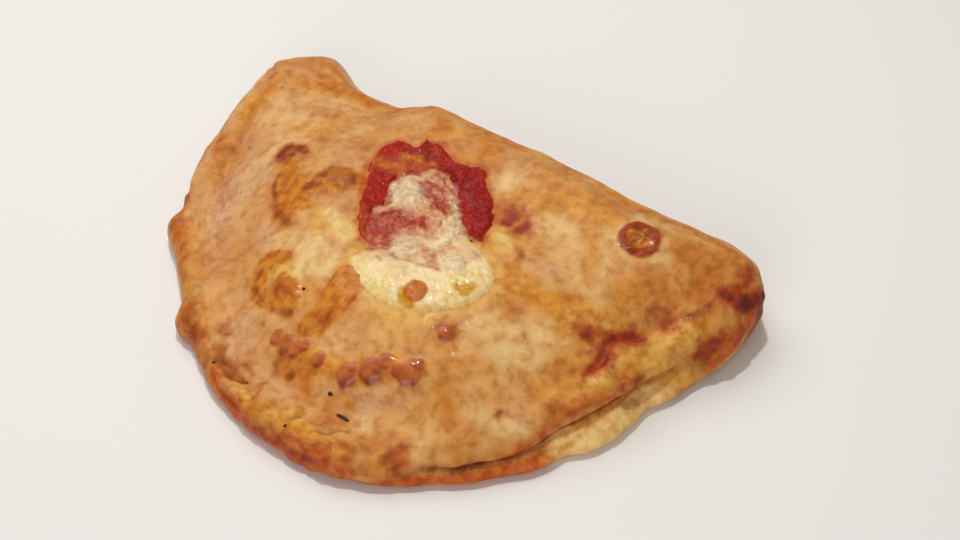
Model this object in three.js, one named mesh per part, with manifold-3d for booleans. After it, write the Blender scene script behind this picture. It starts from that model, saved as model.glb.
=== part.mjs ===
// A baked calzone: a deep half moon of folded pizza dough, resting on its flat underside.
// The crust is one closed solid. Its straight folded edge is thick and round, its curved edge is a thin
// pressed rim. A patch of tomato sauce and a pool of melted cheese lie in a shallow dish on top.
// Units are millimetres, +Z is up, the folded edge is towards +Y and the origin is under the middle.
import * as THREE from 'three';
import { mergeVertices } from 'three/addons/utils/BufferGeometryUtils.js';
import Module from 'manifold-3d';

const { lerp, smoothstep, radToDeg } = THREE.MathUtils;

// ---- Driving dimensions -------------------------------------------------------------------------

// Outline in plan: a superellipse for the curved side and a nearly straight fold behind it.
const WIDEST = { x: 13.7, y: 60.6 };
const REACH_LEFT = 137.8;
const REACH_RIGHT = 103;
const REACH_FRONT = 144.5;
const REACH_BACK = 16;
const ROUND_FRONT = 1.92; // superellipse exponents: the curved side, and the corners at the fold
const ROUND_BACK = 3.4;
// The two ears, where the pressed rim turns into the fold, and the flatter left side. Each stands out
// along the normal at a bearing from the pole.
const EARS = [
  { at: 145, width: 6.2, out: 11.4 },
  { at: 138, width: 4.5, out: -2.6 },
  { at: 156, width: 7, out: -4 },
  { at: 164, width: 11, out: -5.2 },
  { at: -172, width: 12, out: -3 },
  { at: -142, width: 14, out: -3.6 },
  { at: -125, width: 10, out: -2 },
  { at: 33, width: 9, out: 7.8 },
];
// Knots of dough on the rim, which stand out of it without moving the rest.
const KNOTS = [
  { at: -163, width: 4, out: 4 },
  { at: -131, width: 3.8, out: 5.2 },
  { at: -49, width: 5, out: -2 },
  { at: -36, width: 5, out: -1.5 },
  { at: -21, width: 4, out: -2.4 },
  { at: -10, width: 4, out: -0.6 },
  { at: 0, width: 6, out: -5.6 },
  { at: 9, width: 4, out: -2.4 },
  { at: 17, width: 4, out: 1.6 },
  { at: 27, width: 4, out: -2.6 },
];
const POLE = { x: -2.1, y: 8.6 }; // the middle, which bearings are measured from

// Sections through the edge, from the middle outwards and down to the foot. q is the distance in from
// the outline and z the height above the table. From the shoulder on, the section may turn under.
const SHOULDER = 10;
const FIT_DEPTH = 6; // how far in from the shoulder a section is its own and not the mean of its part
const SECTIONS = {
  fold: {
    top: [{ q: 60, z: 39 }, { q: 36, z: 42 }, { q: 22, z: 44.5 }, { q: SHOULDER, z: 40 }],
    edge: [{ q: 3, z: 32 }, { q: 0.6, z: 23 }, { q: 1, z: 13 }, { q: 4.6, z: 5 }, { q: 11, z: 0 }],
  },
  hip: {
    top: [{ q: 60, z: 39 }, { q: 36, z: 39.5 }, { q: 22, z: 38.5 }, { q: SHOULDER, z: 33 }],
    edge: [{ q: 3.2, z: 26 }, { q: 0.6, z: 17.5 }, { q: 0.8, z: 9.5 }, { q: 3.8, z: 3.2 }, { q: 9, z: 0 }],
  },
  tip: {
    top: [{ q: 60, z: 39 }, { q: 36, z: 35.5 }, { q: 22, z: 31.5 }, { q: SHOULDER, z: 27.5 }],
    edge: [{ q: 3.6, z: 22 }, { q: 0.7, z: 15 }, { q: 0.7, z: 8 }, { q: 3, z: 2.6 }, { q: 7, z: 0 }],
  },
  ear: {
    top: [{ q: 60, z: 39 }, { q: 36, z: 30.5 }, { q: 22, z: 28.6 }, { q: SHOULDER, z: 28.4 }],
    edge: [{ q: 3.8, z: 23 }, { q: 0.8, z: 15 }, { q: 0.6, z: 7.6 }, { q: 3, z: 2.4 }, { q: 7, z: 0 }],
  },
  rolled: {
    top: [{ q: 60, z: 39 }, { q: 36, z: 28 }, { q: 18, z: 14.6 }, { q: SHOULDER, z: 13.8 }],
    edge: [{ q: 5, z: 12.9 }, { q: 1.2, z: 9.4 }, { q: 0.2, z: 5 }, { q: 1, z: 1.8 }, { q: 4, z: 0 }],
  },
  lowSeam: { // here the upper dough comes down near the outline and leaves a thin lip
    top: [{ q: 60, z: 39 }, { q: 36, z: 30 }, { q: 20, z: 21 }, { q: SHOULDER, z: 14.6 }],
    edge: [{ q: 5, z: 9.6 }, { q: 6, z: 7.2 }, { q: 3, z: 5.4 }, { q: 0.4, z: 3.2 }, { q: 3, z: 0 }],
  },
  highSeam: { // and here it stands back from a broad one
    top: [{ q: 60, z: 39 }, { q: 36, z: 30 }, { q: 20, z: 23.4 }, { q: SHOULDER, z: 18.4 }],
    edge: [{ q: 9, z: 13.8 }, { q: 10, z: 10.8 }, { q: 5, z: 7.8 }, { q: 0.4, z: 4 }, { q: 3, z: 0 }],
  },
  seam: {
    top: [{ q: 60, z: 39 }, { q: 36, z: 30 }, { q: 20, z: 22 }, { q: SHOULDER, z: 16.4 }],
    edge: [{ q: 7, z: 12 }, { q: 8, z: 9.2 }, { q: 4, z: 6.8 }, { q: 0.4, z: 3.6 }, { q: 3, z: 0 }],
  },
};
// Which section the edge has, by the bearing from the pole in degrees: 0 is +X and 90 the fold.
const ROUTE = [
  { at: -180, is: 'rolled' },
  { at: -66, is: 'rolled' },
  { at: -35, is: 'lowSeam' },
  { at: -11, is: 'highSeam' },
  { at: 5, is: 'seam' },
  { at: 20, is: 'tip' },
  { at: 36, is: 'hip' },
  { at: 58, is: 'fold' },
  { at: 112, is: 'fold' },
  { at: 130, is: 'ear' },
  { at: 156, is: 'ear' },
  { at: 180, is: 'rolled' },
];

// Swells (+) and dips (-) of the top: an oval hump of the given height, its longer axis turned by turn
// degrees from +X.
const RELIEF = [
  { x: 5, y: 12.5, long: 36, short: 27, turn: -50, height: -1.8 }, // the dish under the toppings
  { x: 90, y: 20.5, long: 24, short: 5.5, turn: 65, height: -1.5 }, // fold beside the right ear
  { x: 102, y: 19.5, long: 24, short: 7, turn: 66, height: 1.6 }, // ridge between it and the seam
  { x: -25, y: -35.5, long: 11, short: 9, turn: 40, height: 1.2 },
  { x: -77, y: 36.5, long: 26, short: 9, turn: 60, height: 1.4 },
  { x: 57, y: -21.5, long: 18, short: 9, turn: 35, height: 1 },
];
// Pleats pressed across the rim, as narrow troughs that lean over and run in as far as PLEAT_REACH.
const PLEAT_REACH = 17;
const PLEATS = [
  { at: -115, width: 2, deep: 0.8 },
  { at: -104, width: 1.6, deep: 1.3 },
  { at: -96, width: 2.2, deep: 0.9 },
  { at: -86, width: 1.8, deep: 1.5 },
  { at: -79, width: 1.6, deep: 0.8 },
  { at: -70, width: 2.3, deep: 1.3 },
  { at: -60, width: 1.8, deep: 0.9 },
];

// Blisters and beads of browned cheese that stand on the crust: radius in plan and height.
const BLISTERS = [
  { x: 73.4, y: 47.9, r: 6.4, high: 1.3 },
  { x: -29.5, y: -35, r: 6, high: 1 },
  { x: 38.8, y: -25, r: 3.6, high: 1.3 },
  { x: 97.5, y: 7.2, r: 4.6, high: 0.9 },
  { x: -19.4, y: -51.3, r: 3.9, high: 1.3 }, // from here on the crescent of beads in front
  { x: -13.4, y: -54.6, r: 3.4, high: 1 },
  { x: -7.3, y: -55.2, r: 3, high: 1.2 },
  { x: -1.4, y: -54.9, r: 3.2, high: 1 },
  { x: 4.4, y: -54.1, r: 3.6, high: 1.4 },
  { x: 10.6, y: -53.9, r: 3.2, high: 1.1 },
  { x: 16.6, y: -52.5, r: 3.8, high: 1.6 },
  { x: 22.3, y: -48.4, r: 4.1, high: 1.7 },
  { x: 27.4, y: -44.3, r: 3.6, high: 1.3 },
  { x: 33.6, y: -41.3, r: 4.2, high: 1.8 },
  { x: 37.4, y: -36.7, r: 3.3, high: 1.2 },
];

// The toppings lie on the crust as pads. The radius of a pad's outline is a mean and lobes, each lobe
// a bulge at a direction in degrees. GAP keeps the pads clear of the crust and of each other.
const GAP = 0.3;
const SAUCE = {
  x: -5, y: 21.5, r: 26.5, thick: 2.4, edge: 1.2,
  lobes: [
    { at: 142, width: 36, out: 6.5 },
    { at: -8, width: 24, out: 7 },
    { at: 100, width: 9, out: -1.5 },
    { at: -150, width: 14, out: -3 },
  ],
};
const CHEESE = {
  x: 11, y: 0.5, r: 14, thick: 3, edge: 1.2,
  lobes: [
    { at: 130, width: 29, out: 27 },
    { at: -93, width: 45, out: 21 },
    { at: -8, width: 35, out: 16 },
  ],
};
const BUBBLES = [ // on the cheese
  { x: 21, y: -16.5, r: 4.2, high: 3.8 },
  { x: 33, y: -2.5, r: 3.4, high: 3.5 },
  { x: -8, y: 24.5, r: 9, high: 4.6 },
];

const DOME_RINGS = 17; // mesh density
const EDGE_RINGS = 12;

// ---- Outline --------------------------------------------------------------------------------------

// A smooth hump of height 1 at an angle in degrees, which has faded out at twice its width.
function humpAt(degrees, { at, width }) {
  const apart = ((degrees - at + 540) % 360) - 180;
  return Math.exp(-((apart / width) ** 2));
}

function plainOutline(turn) {
  const c = Math.cos(2 * Math.PI * turn);
  const s = Math.sin(2 * Math.PI * turn);
  const along = c < 0 ? REACH_LEFT : REACH_RIGHT;
  const across = s < 0 ? REACH_FRONT : REACH_BACK;
  const n = s < 0 ? ROUND_FRONT : ROUND_BACK;
  const r = (Math.abs(c / along) ** n + Math.abs(s / across) ** n) ** (-1 / n);
  return new THREE.Vector2(WIDEST.x + r * c, WIDEST.y + r * s);
}

function bearingOf(p) {
  return radToDeg(Math.atan2(p.y - POLE.y, p.x - POLE.x));
}

function outwardNormals(points) {
  const n = points.length;
  return points.map((p, i) => {
    const tangent = points[(i + 1) % n].clone().sub(points[(i + n - 1) % n]).normalize();
    return new THREE.Vector2(tangent.y, -tangent.x);
  });
}

// Evenly spaced points round the outline, each with its outward normal and the section it has.
function makeOutline(count) {
  const plain = Array.from({ length: 1440 }, (_, i) => plainOutline(i / 1440));
  const normals = outwardNormals(plain);
  plain.forEach((p, i) => {
    const out = EARS.reduce((sum, ear) => sum + ear.out * humpAt(bearingOf(p), ear), 0);
    p.addScaledVector(normals[i], out);
  });
  const curve = new THREE.SplineCurve([...plain, plain[0]]);
  curve.arcLengthDivisions = 2880;
  const points = curve.getSpacedPoints(count).slice(0, count);
  return outwardNormals(points).map((normal, i) => ({
    p: points[i],
    normal,
    section: sectionAt(bearingOf(points[i])),
    knot: KNOTS.reduce((sum, k) => sum + k.out * humpAt(bearingOf(points[i]), k), 0),
  }));
}

// ---- Sections ---------------------------------------------------------------------------------------

// Adds up sections point by point, each multiplied by its weight.
function mixSections(parts) {
  const mix = (side) =>
    parts[0].section[side].map((_, k) =>
      parts.reduce(
        (sum, { section, weight }) => ({
          q: sum.q + weight * section[side][k].q,
          z: sum.z + weight * section[side][k].z,
        }),
        { q: 0, z: 0 },
      ),
    );
  return { top: mix('top'), edge: mix('edge') };
}

function sectionAt(degrees) {
  let i = 0;
  while (i < ROUTE.length - 2 && degrees > ROUTE[i + 1].at) i++;
  const [from, to] = [ROUTE[i], ROUTE[i + 1]];
  const t = smoothstep(degrees, from.at, to.at);
  return mixSections([
    { section: SECTIONS[from.is], weight: 1 - t },
    { section: SECTIONS[to.is], weight: t },
  ]);
}

// Height of a section's top at the distance q in from the outline, a smooth curve through its points.
function topHeight(top, q) {
  const points = top.map((p) => ({ x: -p.q, y: p.z }));
  const x = -Math.min(q, top[0].q);
  let i = 0;
  while (i < points.length - 2 && x > points[i + 1].x) i++;
  const slope = (k) => {
    if (k === 0) return 0;
    const last = Math.min(k + 1, points.length - 1);
    return (points[last].y - points[k - 1].y) / (points[last].x - points[k - 1].x);
  };
  const h = points[i + 1].x - points[i].x;
  const t = (x - points[i].x) / h;
  const [m0, m1] = [h * slope(i), h * slope(i + 1)];
  const [y0, y1] = [points[i].y, points[i + 1].y];
  return (2 * t ** 3 - 3 * t ** 2 + 1) * y0 + (t ** 3 - 2 * t ** 2 + t) * m0
    + (3 * t ** 2 - 2 * t ** 3) * y1 + (t ** 3 - t ** 2) * m1;
}

// ---- The top as a height over the plan --------------------------------------------------------------

const OUTLINE = makeOutline(320);
const STEP = OUTLINE[0].p.distanceTo(OUTLINE[1].p);

// Every piece of the edge counts with the inverse fifth power of its distance. The sum gives a distance
// from the edge that has no crease in the corners, and the mean section of the edge near the point.
function edgeNear(x, y) {
  const weights = OUTLINE.map(({ p }) => Math.hypot(p.x - x, p.y - y) ** -5);
  const sum = weights.reduce((a, b) => a + b, 0);
  const parts = OUTLINE.map(({ section }, i) => ({ section, weight: weights[i] / sum }));
  return {
    q: ((0.75 * sum * STEP) ** (-1 / 4)),
    section: mixSections(parts.filter(({ weight }) => weight > 1e-5)),
  };
}

function reliefAt(x, y, q) {
  let z = 0;
  for (const hump of RELIEF) {
    const turn = THREE.MathUtils.degToRad(hump.turn);
    const u = (x - hump.x) * Math.cos(turn) + (y - hump.y) * Math.sin(turn);
    const v = (y - hump.y) * Math.cos(turn) - (x - hump.x) * Math.sin(turn);
    z += hump.height * Math.exp(-((u / hump.long) ** 2) - (v / hump.short) ** 2);
  }
  const onRim = smoothstep(q, 0, 5) * Math.exp(-((q / PLEAT_REACH) ** 4));
  const degrees = bearingOf({ x, y }) + 0.35 * q;
  for (const pleat of PLEATS) z -= pleat.deep * onRim * humpAt(degrees, pleat);
  return z;
}

function topAt(x, y) {
  const { q, section } = edgeNear(x, y);
  return topHeight(section.top, q) + reliefAt(x, y, q);
}

// ---- Crust ------------------------------------------------------------------------------------------

// A line of the surface from the pole over the dome and the edge to the foot, one point a ring.
function spokePoints({ p, normal, section, knot }) {
  const inward = (q) => p.clone().addScaledVector(normal, -q);
  const shoulder = inward(SHOULDER);
  const atShoulder = edgeNear(shoulder.x, shoulder.y);
  const fit = SHOULDER / atShoulder.q;
  const nearEdge = (q) => Math.exp(-Math.max(0, q - atShoulder.q) / FIT_DEPTH);
  const points = [];
  for (let i = 0; i <= DOME_RINGS; i++) {
    const share = 1 - (1 - i / DOME_RINGS) ** 1.25;
    const xy = new THREE.Vector2(POLE.x, POLE.y).lerp(shoulder, share);
    const near = edgeNear(xy.x, xy.y);
    const local = nearEdge(near.q);
    const here = mixSections([
      { section: near.section, weight: 1 - local },
      { section, weight: local },
    ]);
    const z = topHeight(here.top, near.q * lerp(1, fit, local));
    points.push(new THREE.Vector3(xy.x, xy.y, z + reliefAt(xy.x, xy.y, near.q)));
  }
  const { top, edge } = section;
  const before = { q: SHOULDER + 4, z: topHeight(top, SHOULDER + 4) };
  const after = { q: edge.at(-1).q + 6, z: 0 };
  const line = [before, top.at(-1), ...edge, after];
  const curve = new THREE.SplineCurve(line.map(({ q, z }) => new THREE.Vector2(q, z)));
  for (let i = 1; i <= EDGE_RINGS; i++) {
    const { x: q, y: z } = curve.getPoint((1 + (i / EDGE_RINGS) * edge.length) / (line.length - 1));
    const out = knot * smoothstep(i, 0, EDGE_RINGS / 2);
    const xy = inward(q - out);
    const relief = reliefAt(xy.x, xy.y, q) * smoothstep(z, 3, 11);
    points.push(new THREE.Vector3(xy.x, xy.y, i < EDGE_RINGS ? Math.max(0, z + relief) : 0));
  }
  return points;
}

// Share of the way round the square ring k of its grid point (i, j), from 0 to 1.
function roundRing(k, i, j) {
  if (k === 0) return 0;
  if (i === k && j > -k) return (j + k) / (8 * k);
  if (j === k) return (3 * k - i) / (8 * k);
  if (i === -k) return (5 * k - j) / (8 * k);
  return (7 * k + i) / (8 * k);
}

// The surface is laid over a square grid whose squares round the middle are its rings, so the mesh is
// as fine in the middle as at the edge.
function crustGeometry() {
  const rings = DOME_RINGS + EDGE_RINGS;
  const count = 8 * rings;
  const spokes = makeOutline(count).map(spokePoints);
  const onSurface = (share, ring) => {
    const at = share * count;
    const low = Math.floor(at);
    return spokes[low % count][ring].clone().lerp(spokes[(low + 1) % count][ring], at - low);
  };
  const at = (i, j) => (i + rings) * (2 * rings + 1) + (j + rings);
  const position = [];
  for (let i = -rings; i <= rings; i++) {
    for (let j = -rings; j <= rings; j++) {
      const k = Math.max(Math.abs(i), Math.abs(j));
      position.push(...onSurface(roundRing(k, i, j), k).toArray());
    }
  }
  const index = [];
  for (let i = -rings; i < rings; i++) {
    for (let j = -rings; j < rings; j++) {
      const [a, b, c, d] = [at(i, j), at(i + 1, j), at(i + 1, j + 1), at(i, j + 1)];
      if ((i + 0.5) * (j + 0.5) > 0) index.push(a, b, c, a, c, d);
      else index.push(a, b, d, b, c, d);
    }
  }
  // the flat underside is a fan about a point under the pole
  const under = position.length / 3;
  position.push(POLE.x, POLE.y, 0);
  const foot = [];
  for (let j = -rings; j < rings; j++) foot.push(at(rings, j));
  for (let i = rings; i > -rings; i--) foot.push(at(i, rings));
  for (let j = rings; j > -rings; j--) foot.push(at(-rings, j));
  for (let i = -rings; i < rings; i++) foot.push(at(i, -rings));
  foot.forEach((v, k) => index.push(under, foot[(k + 1) % foot.length], v));
  const geometry = new THREE.BufferGeometry();
  geometry.setAttribute('position', new THREE.Float32BufferAttribute(position, 3));
  geometry.setIndex(index);
  return geometry;
}

// ---- Solids -----------------------------------------------------------------------------------------

const wasm = await Module();
wasm.setup();

function toSolid(geometry) {
  const plain = new THREE.BufferGeometry();
  plain.setAttribute('position', geometry.getAttribute('position'));
  plain.setIndex(geometry.index);
  const merged = mergeVertices(plain, 1e-4);
  return new wasm.Manifold(
    new wasm.Mesh({
      numProp: 3,
      vertProperties: merged.attributes.position.array,
      triVerts: new Uint32Array(merged.index.array),
    }),
  );
}

function toGeometry(solid) {
  const mesh = solid.getMesh();
  const geometry = new THREE.BufferGeometry();
  geometry.setAttribute('position', new THREE.BufferAttribute(mesh.vertProperties, 3));
  geometry.setIndex(new THREE.BufferAttribute(mesh.triVerts, 1));
  geometry.computeVertexNormals();
  return geometry;
}

// A low dome that stands the height high above a base at z, and is sunk below it by as much.
function blister({ x, y, r, high }, z) {
  const geometry = new THREE.SphereGeometry(1, 12, 6);
  geometry.rotateX(Math.PI / 2);
  geometry.scale(r * 1.15, r * 1.15, high * 2);
  geometry.translate(x, y, z - high);
  return toSolid(geometry);
}

function padRadius(pad, direction) {
  const degrees = radToDeg(direction);
  return pad.lobes.reduce((sum, lobe) => sum + lobe.out * humpAt(degrees, lobe), pad.r);
}

// A pad of topping over the crust, thick in the middle, from 3 mm inside the crust to its own top.
// grow makes it larger all round.
function padSolid(pad, grow = 0) {
  const around = 64;
  const rings = 5;
  const position = [];
  const index = [];
  for (const side of [1, 0]) {
    position.push(pad.x, pad.y, topAt(pad.x, pad.y) + (side ? pad.thick + grow : -3));
    for (let k = 1; k <= rings; k++) {
      for (let i = 0; i < around; i++) {
        const direction = (i / around) * 2 * Math.PI;
        const share = k / rings;
        const r = (padRadius(pad, direction) + grow) * share ** 0.8;
        const x = pad.x + r * Math.cos(direction);
        const y = pad.y + r * Math.sin(direction);
        const over = lerp(pad.edge, pad.thick, Math.sqrt(1 - share ** 2)) + grow;
        position.push(x, y, topAt(x, y) + (side ? over : -3));
      }
    }
  }
  const sheet = 1 + rings * around;
  const at = (side, k, i) => side * sheet + (k === 0 ? 0 : 1 + (k - 1) * around + (i % around));
  for (let i = 0; i < around; i++) {
    for (const side of [0, 1]) {
      const turned = (a, b, c) => index.push(a, ...(side ? [c, b] : [b, c]));
      turned(at(side, 0, 0), at(side, 1, i), at(side, 1, i + 1));
      for (let k = 1; k < rings; k++) {
        turned(at(side, k, i), at(side, k + 1, i), at(side, k + 1, i + 1));
        turned(at(side, k, i), at(side, k + 1, i + 1), at(side, k, i + 1));
      }
    }
    index.push(at(0, rings, i), at(1, rings, i), at(1, rings, i + 1));
    index.push(at(0, rings, i), at(1, rings, i + 1), at(0, rings, i + 1));
  }
  const geometry = new THREE.BufferGeometry();
  geometry.setAttribute('position', new THREE.Float32BufferAttribute(position, 3));
  geometry.setIndex(index);
  return toSolid(geometry);
}

const plainCrust = toSolid(crustGeometry());
const crustSolid = wasm.Manifold.union([
  plainCrust,
  ...BLISTERS.map((b) => blister(b, topAt(b.x, b.y))),
]);
const lifted = crustSolid.translate([0, 0, GAP]);
const cheesePad = (grow) =>
  wasm.Manifold.union([
    padSolid(CHEESE, grow),
    ...BUBBLES.map((b) => blister({ ...b, r: b.r + grow, high: b.high + grow }, topAt(b.x, b.y))),
  ]);
const cheeseSolid = cheesePad(0).subtract(lifted);
const sauceSolid = padSolid(SAUCE).subtract(cheesePad(GAP)).subtract(lifted);

// ---- Parts ------------------------------------------------------------------------------------------

const calzone = new THREE.Group();

function add(name, solid, color, roughness) {
  const mesh = new THREE.Mesh(toGeometry(solid), new THREE.MeshStandardMaterial({ color, roughness }));
  mesh.name = name;
  calzone.add(mesh);
}

add('crust', crustSolid, 0xd9a566, 0.6);
add('tomato_sauce', sauceSolid, 0xa3261f, 0.35);
add('melted_cheese', cheeseSolid, 0xf0dfae, 0.4);

export default calzone;
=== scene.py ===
import math

import bpy
import numpy as np
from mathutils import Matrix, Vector


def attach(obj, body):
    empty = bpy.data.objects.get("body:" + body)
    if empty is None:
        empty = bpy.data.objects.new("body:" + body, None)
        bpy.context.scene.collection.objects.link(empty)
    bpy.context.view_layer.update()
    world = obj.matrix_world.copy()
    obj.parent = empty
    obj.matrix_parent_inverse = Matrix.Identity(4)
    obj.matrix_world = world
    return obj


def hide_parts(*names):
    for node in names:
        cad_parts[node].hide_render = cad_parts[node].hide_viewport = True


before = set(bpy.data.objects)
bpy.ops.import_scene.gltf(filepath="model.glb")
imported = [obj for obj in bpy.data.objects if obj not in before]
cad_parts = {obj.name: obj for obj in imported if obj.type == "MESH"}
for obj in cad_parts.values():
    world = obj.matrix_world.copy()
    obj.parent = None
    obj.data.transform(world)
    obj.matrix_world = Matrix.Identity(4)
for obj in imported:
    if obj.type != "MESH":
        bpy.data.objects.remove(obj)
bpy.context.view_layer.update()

mm = 0.001  # the form is worked out in millimetres, and Blender's objects are in metres
dice = np.random.default_rng(12)
print("calzone: frame loaded")


def smooth(low, high, x):
    # 0 up to low, 1 from high on, and an even curve between them
    t = np.clip((np.asarray(x, float) - low) / (high - low), 0, 1)
    return t * t * (3 - 2 * t)


def blend(a, b, t):
    return a + (b - a) * t


def bell(x, middle, width):
    return np.exp(-((x - middle) / width) ** 2)


def allRound(count):
    return np.arange(count) / count * 2 * np.pi


latticeSide = 48
lattice = dice.random((latticeSide, latticeSide, latticeSide)) * 2 - 1
latticeShift, octaveShift = 5.37, 11.1  # in lumps, so that no two noises lie on each other


def noise(points, size, which, octaves=2):
    # smooth lumps about size mm across, up and down from 0, with lumps half as large and high on them. Any
    # other number for which puts them in other places
    total = np.zeros(len(points))
    for k in range(octaves):
        p = points / (size / 2 ** k) + which * latticeShift + k * octaveShift
        low = np.floor(p).astype(int)
        f = p - low
        f = f * f * (3 - 2 * f)
        for corner in range(8):
            d = np.array([corner & 1, corner >> 1 & 1, corner >> 2])
            share = np.prod(np.where(d, f, 1 - f), axis=1)
            at = (low + d) % latticeSide
            total += 0.5 ** k * share * lattice[at[:, 0], at[:, 1], at[:, 2]]
    return total


def wander(points, size, far, which):
    # the points, each moved by about far, so that whatever is drawn with them gets an uneven edge
    moves = [noise(points, size, which + k) for k in range(3)]
    return points + far * np.stack(moves, axis=1)


def throughPoints(a, b, c, d, t):
    # a smooth curve through a row of points, here from b to c
    return b + 0.5 * t * (c - a + t * (2 * a - 5 * b + 4 * c - d + t * (3 * b - a - 3 * c + d)))


def strokeAt(points, line, soft):
    # 1 inside a brush stroke and 0 outside it, over soft mm to each side of its edge. Each point of the line
    # is its place and the brush's radius
    line = np.array(line, float)
    if len(line) == 1:
        line = np.repeat(line, 2, axis=0)
    nearest = np.full(len(points), np.inf)
    size = line.shape[1] - 1
    for a, b in zip(line[:-1], line[1:]):
        along = b[:size] - a[:size]
        t = np.clip((points[:, :size] - a[:size]) @ along / max(along @ along, 1e-9), 0, 1)
        away = np.linalg.norm(points[:, :size] - a[:size] - t[:, None] * along, axis=1)
        nearest = np.minimum(nearest, away - blend(a[size], b[size], t))
    return 1 - smooth(-soft, soft, nearest)


def atLeast(masks, name, amount):
    masks[name] = np.maximum(masks.get(name, 0), amount)


def paint(points, brushes):
    # one mask for each name in brushes, where the strongest stroke counts
    masks = {}
    for name, strokes in brushes.items():
        for strength, soft, line in strokes:
            atLeast(masks, name, strength * strokeAt(points, line, soft))
    return masks


def meshPiece(name, points, faces, masks, material):
    # a shaded mesh piece from points in mm, with each mask as a named attribute for its material
    mesh = bpy.data.meshes.new(name)
    mesh.from_pydata((np.asarray(points) * mm).tolist(), [], faces)
    for key, mask in masks.items():
        attribute = mesh.attributes.new(key, "FLOAT", "POINT")
        attribute.data.foreach_set("value", np.clip(mask, 0, 1).astype(np.float32))
    mesh.materials.append(material)
    mesh.polygons.foreach_set("use_smooth", [True] * len(mesh.polygons))
    mesh.update()
    piece = bpy.data.objects.new(name, mesh)
    bpy.context.scene.collection.objects.link(piece)
    return piece


def normalsOf(points, faces):
    mesh = bpy.data.meshes.new("normals")
    mesh.from_pydata(points.tolist(), [], faces)
    found = np.empty(len(points) * 3, np.float32)
    mesh.vertices.foreach_get("normal", found)
    bpy.data.meshes.remove(mesh)
    return found.reshape(-1, 3).astype(float)


def ringFaces(rings):
    # squares between closed rings of points, each given as the numbers of its points
    around = np.roll(rings, -1, axis=1)
    return np.stack([rings[:-1], rings[1:], around[1:], around[:-1]], axis=2).reshape(-1, 4).tolist()


def fan(ring, tip, tipFirst=False):
    # triangles between a closed ring of points and a single one, which comes before the ring or after it
    around = np.roll(ring, -1)
    tips = np.full(len(ring), tip)
    corners = [tips, ring, around] if tipFirst else [ring, tips, around]
    return np.stack(corners, axis=1).tolist()


# The crust's form: its outline, its sections round the edge and their blends, as the solid has them.
crustForm = {
    "widest": (13.7, 60.6),
    "reach": {"left": 137.8, "right": 103, "front": 144.5, "back": 16},
    "round": {"front": 1.92, "back": 3.4},
    # bearing in degrees, width in degrees, how far out
    "ears": [(145, 6.2, 11.4), (138, 4.5, -2.6), (156, 7, -4), (164, 11, -5.2), (-172, 12, -3),
        (-142, 14, -3.6), (-125, 10, -2), (33, 9, 7.8)],
    "knots": [(-163, 4, 4), (-131, 3.8, 5.2), (-49, 5, -2), (-36, 5, -1.5), (-21, 4, -2.4), (-10, 4, -0.6),
        (0, 6, -5.6), (9, 4, -2.4), (17, 4, 1.6), (27, 4, -2.6)],
    "knotsFrom": (0, 2.5),  # knots start at the shoulder and are full from this stop of the edge on
    "pole": (-2.1, 8.6),  # the middle, which bearings are measured from
    "shoulder": 10,
    "pastShoulder": 4,
    "pastFoot": 6,  # the curve of the edge comes from and heads for points this far in past its ends
    "fitDepth": 6,  # how far in from the shoulder a section is its own and not the mean of its part
    "domeRings": 101,  # the mesh has 8 times all rings points round the edge
    "edgeRings": 45,
    "footRings": 5,  # flat ones on the underside
    "outerRings": 1.25,  # more than 1 draws the dome's rings together at the shoulder
    "even": {"outwards": 14, "spokes": 5},  # running means round the edge, in points
    "crown": (60, 39),  # where every section begins
    # (distance in from the outline, height): three more points over the top, then five round the edge
    "sections": {
        "fold": [(36, 42), (22, 44.5), (10, 40), (3, 32), (0.6, 23), (1, 13), (4.6, 5), (11, 0)],
        "hip": [(36, 39.5), (22, 38.5), (10, 33), (3.2, 26), (0.6, 17.5), (0.8, 9.5), (3.8, 3.2), (9, 0)],
        "tip": [(36, 35.5), (22, 31.5), (10, 27.5), (3.6, 22), (0.7, 15), (0.7, 8), (3, 2.6), (7, 0)],
        "ear": [(36, 30.5), (22, 28.6), (10, 28.4), (3.8, 23), (0.8, 15), (0.6, 7.6), (3, 2.4), (7, 0)],
        "rolled": [(36, 28), (18, 14.6), (10, 13.8), (5, 12.9), (1.2, 9.4), (0.2, 5), (1, 1.8), (4, 0)],
        "lowSeam": [(36, 30), (20, 21), (10, 14.6), (5, 9.6), (6, 7.2), (3, 5.4), (0.4, 3.2), (3, 0)],
        "highSeam": [(36, 30), (20, 23.4), (10, 18.4), (9, 13.8), (10, 10.8), (5, 7.8), (0.4, 4), (3, 0)],
        "seam": [(36, 30), (20, 22), (10, 16.4), (7, 12), (8, 9.2), (4, 6.8), (0.4, 3.6), (3, 0)],
    },
    # bearing: the section there
    "route": [(-180, "rolled"), (-66, "rolled"), (-35, "lowSeam"), (-11, "highSeam"), (5, "seam"),
        (20, "tip"), (36, "hip"), (58, "fold"), (112, "fold"), (130, "ear"), (156, "ear"), (180, "rolled")],
    # x, y, long, short, turn, height of the swells and dips
    "relief": [(5, 12.5, 36, 27, -50, -1.8), (90, 20.5, 24, 5.5, 65, -1.5), (102, 19.5, 24, 7, 66, 1.6),
        (-25, -35.5, 11, 9, 40, 1.2), (-77, 36.5, 26, 9, 60, 1.4), (57, -21.5, 18, 9, 35, 1)],
    "reliefOnEdge": (3, 11),  # it fades out between these heights
    "pleatReach": 17,
    "pleatTwist": 0.35,  # degrees in a mm
    # bearing, width, depth
    "pleats": [(-115, 2, 0.8), (-104, 1.6, 1.3), (-96, 2.2, 0.9), (-86, 1.8, 1.5), (-79, 1.6, 0.8),
        (-70, 2.3, 1.3), (-60, 1.8, 0.9)],
}
pole = np.array(crustForm["pole"])
shoulder = crustForm["shoulder"]
edgeSpans = 5  # the last five points of a section: the edge runs from stop 0, the shoulder, to 5, the foot


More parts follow.
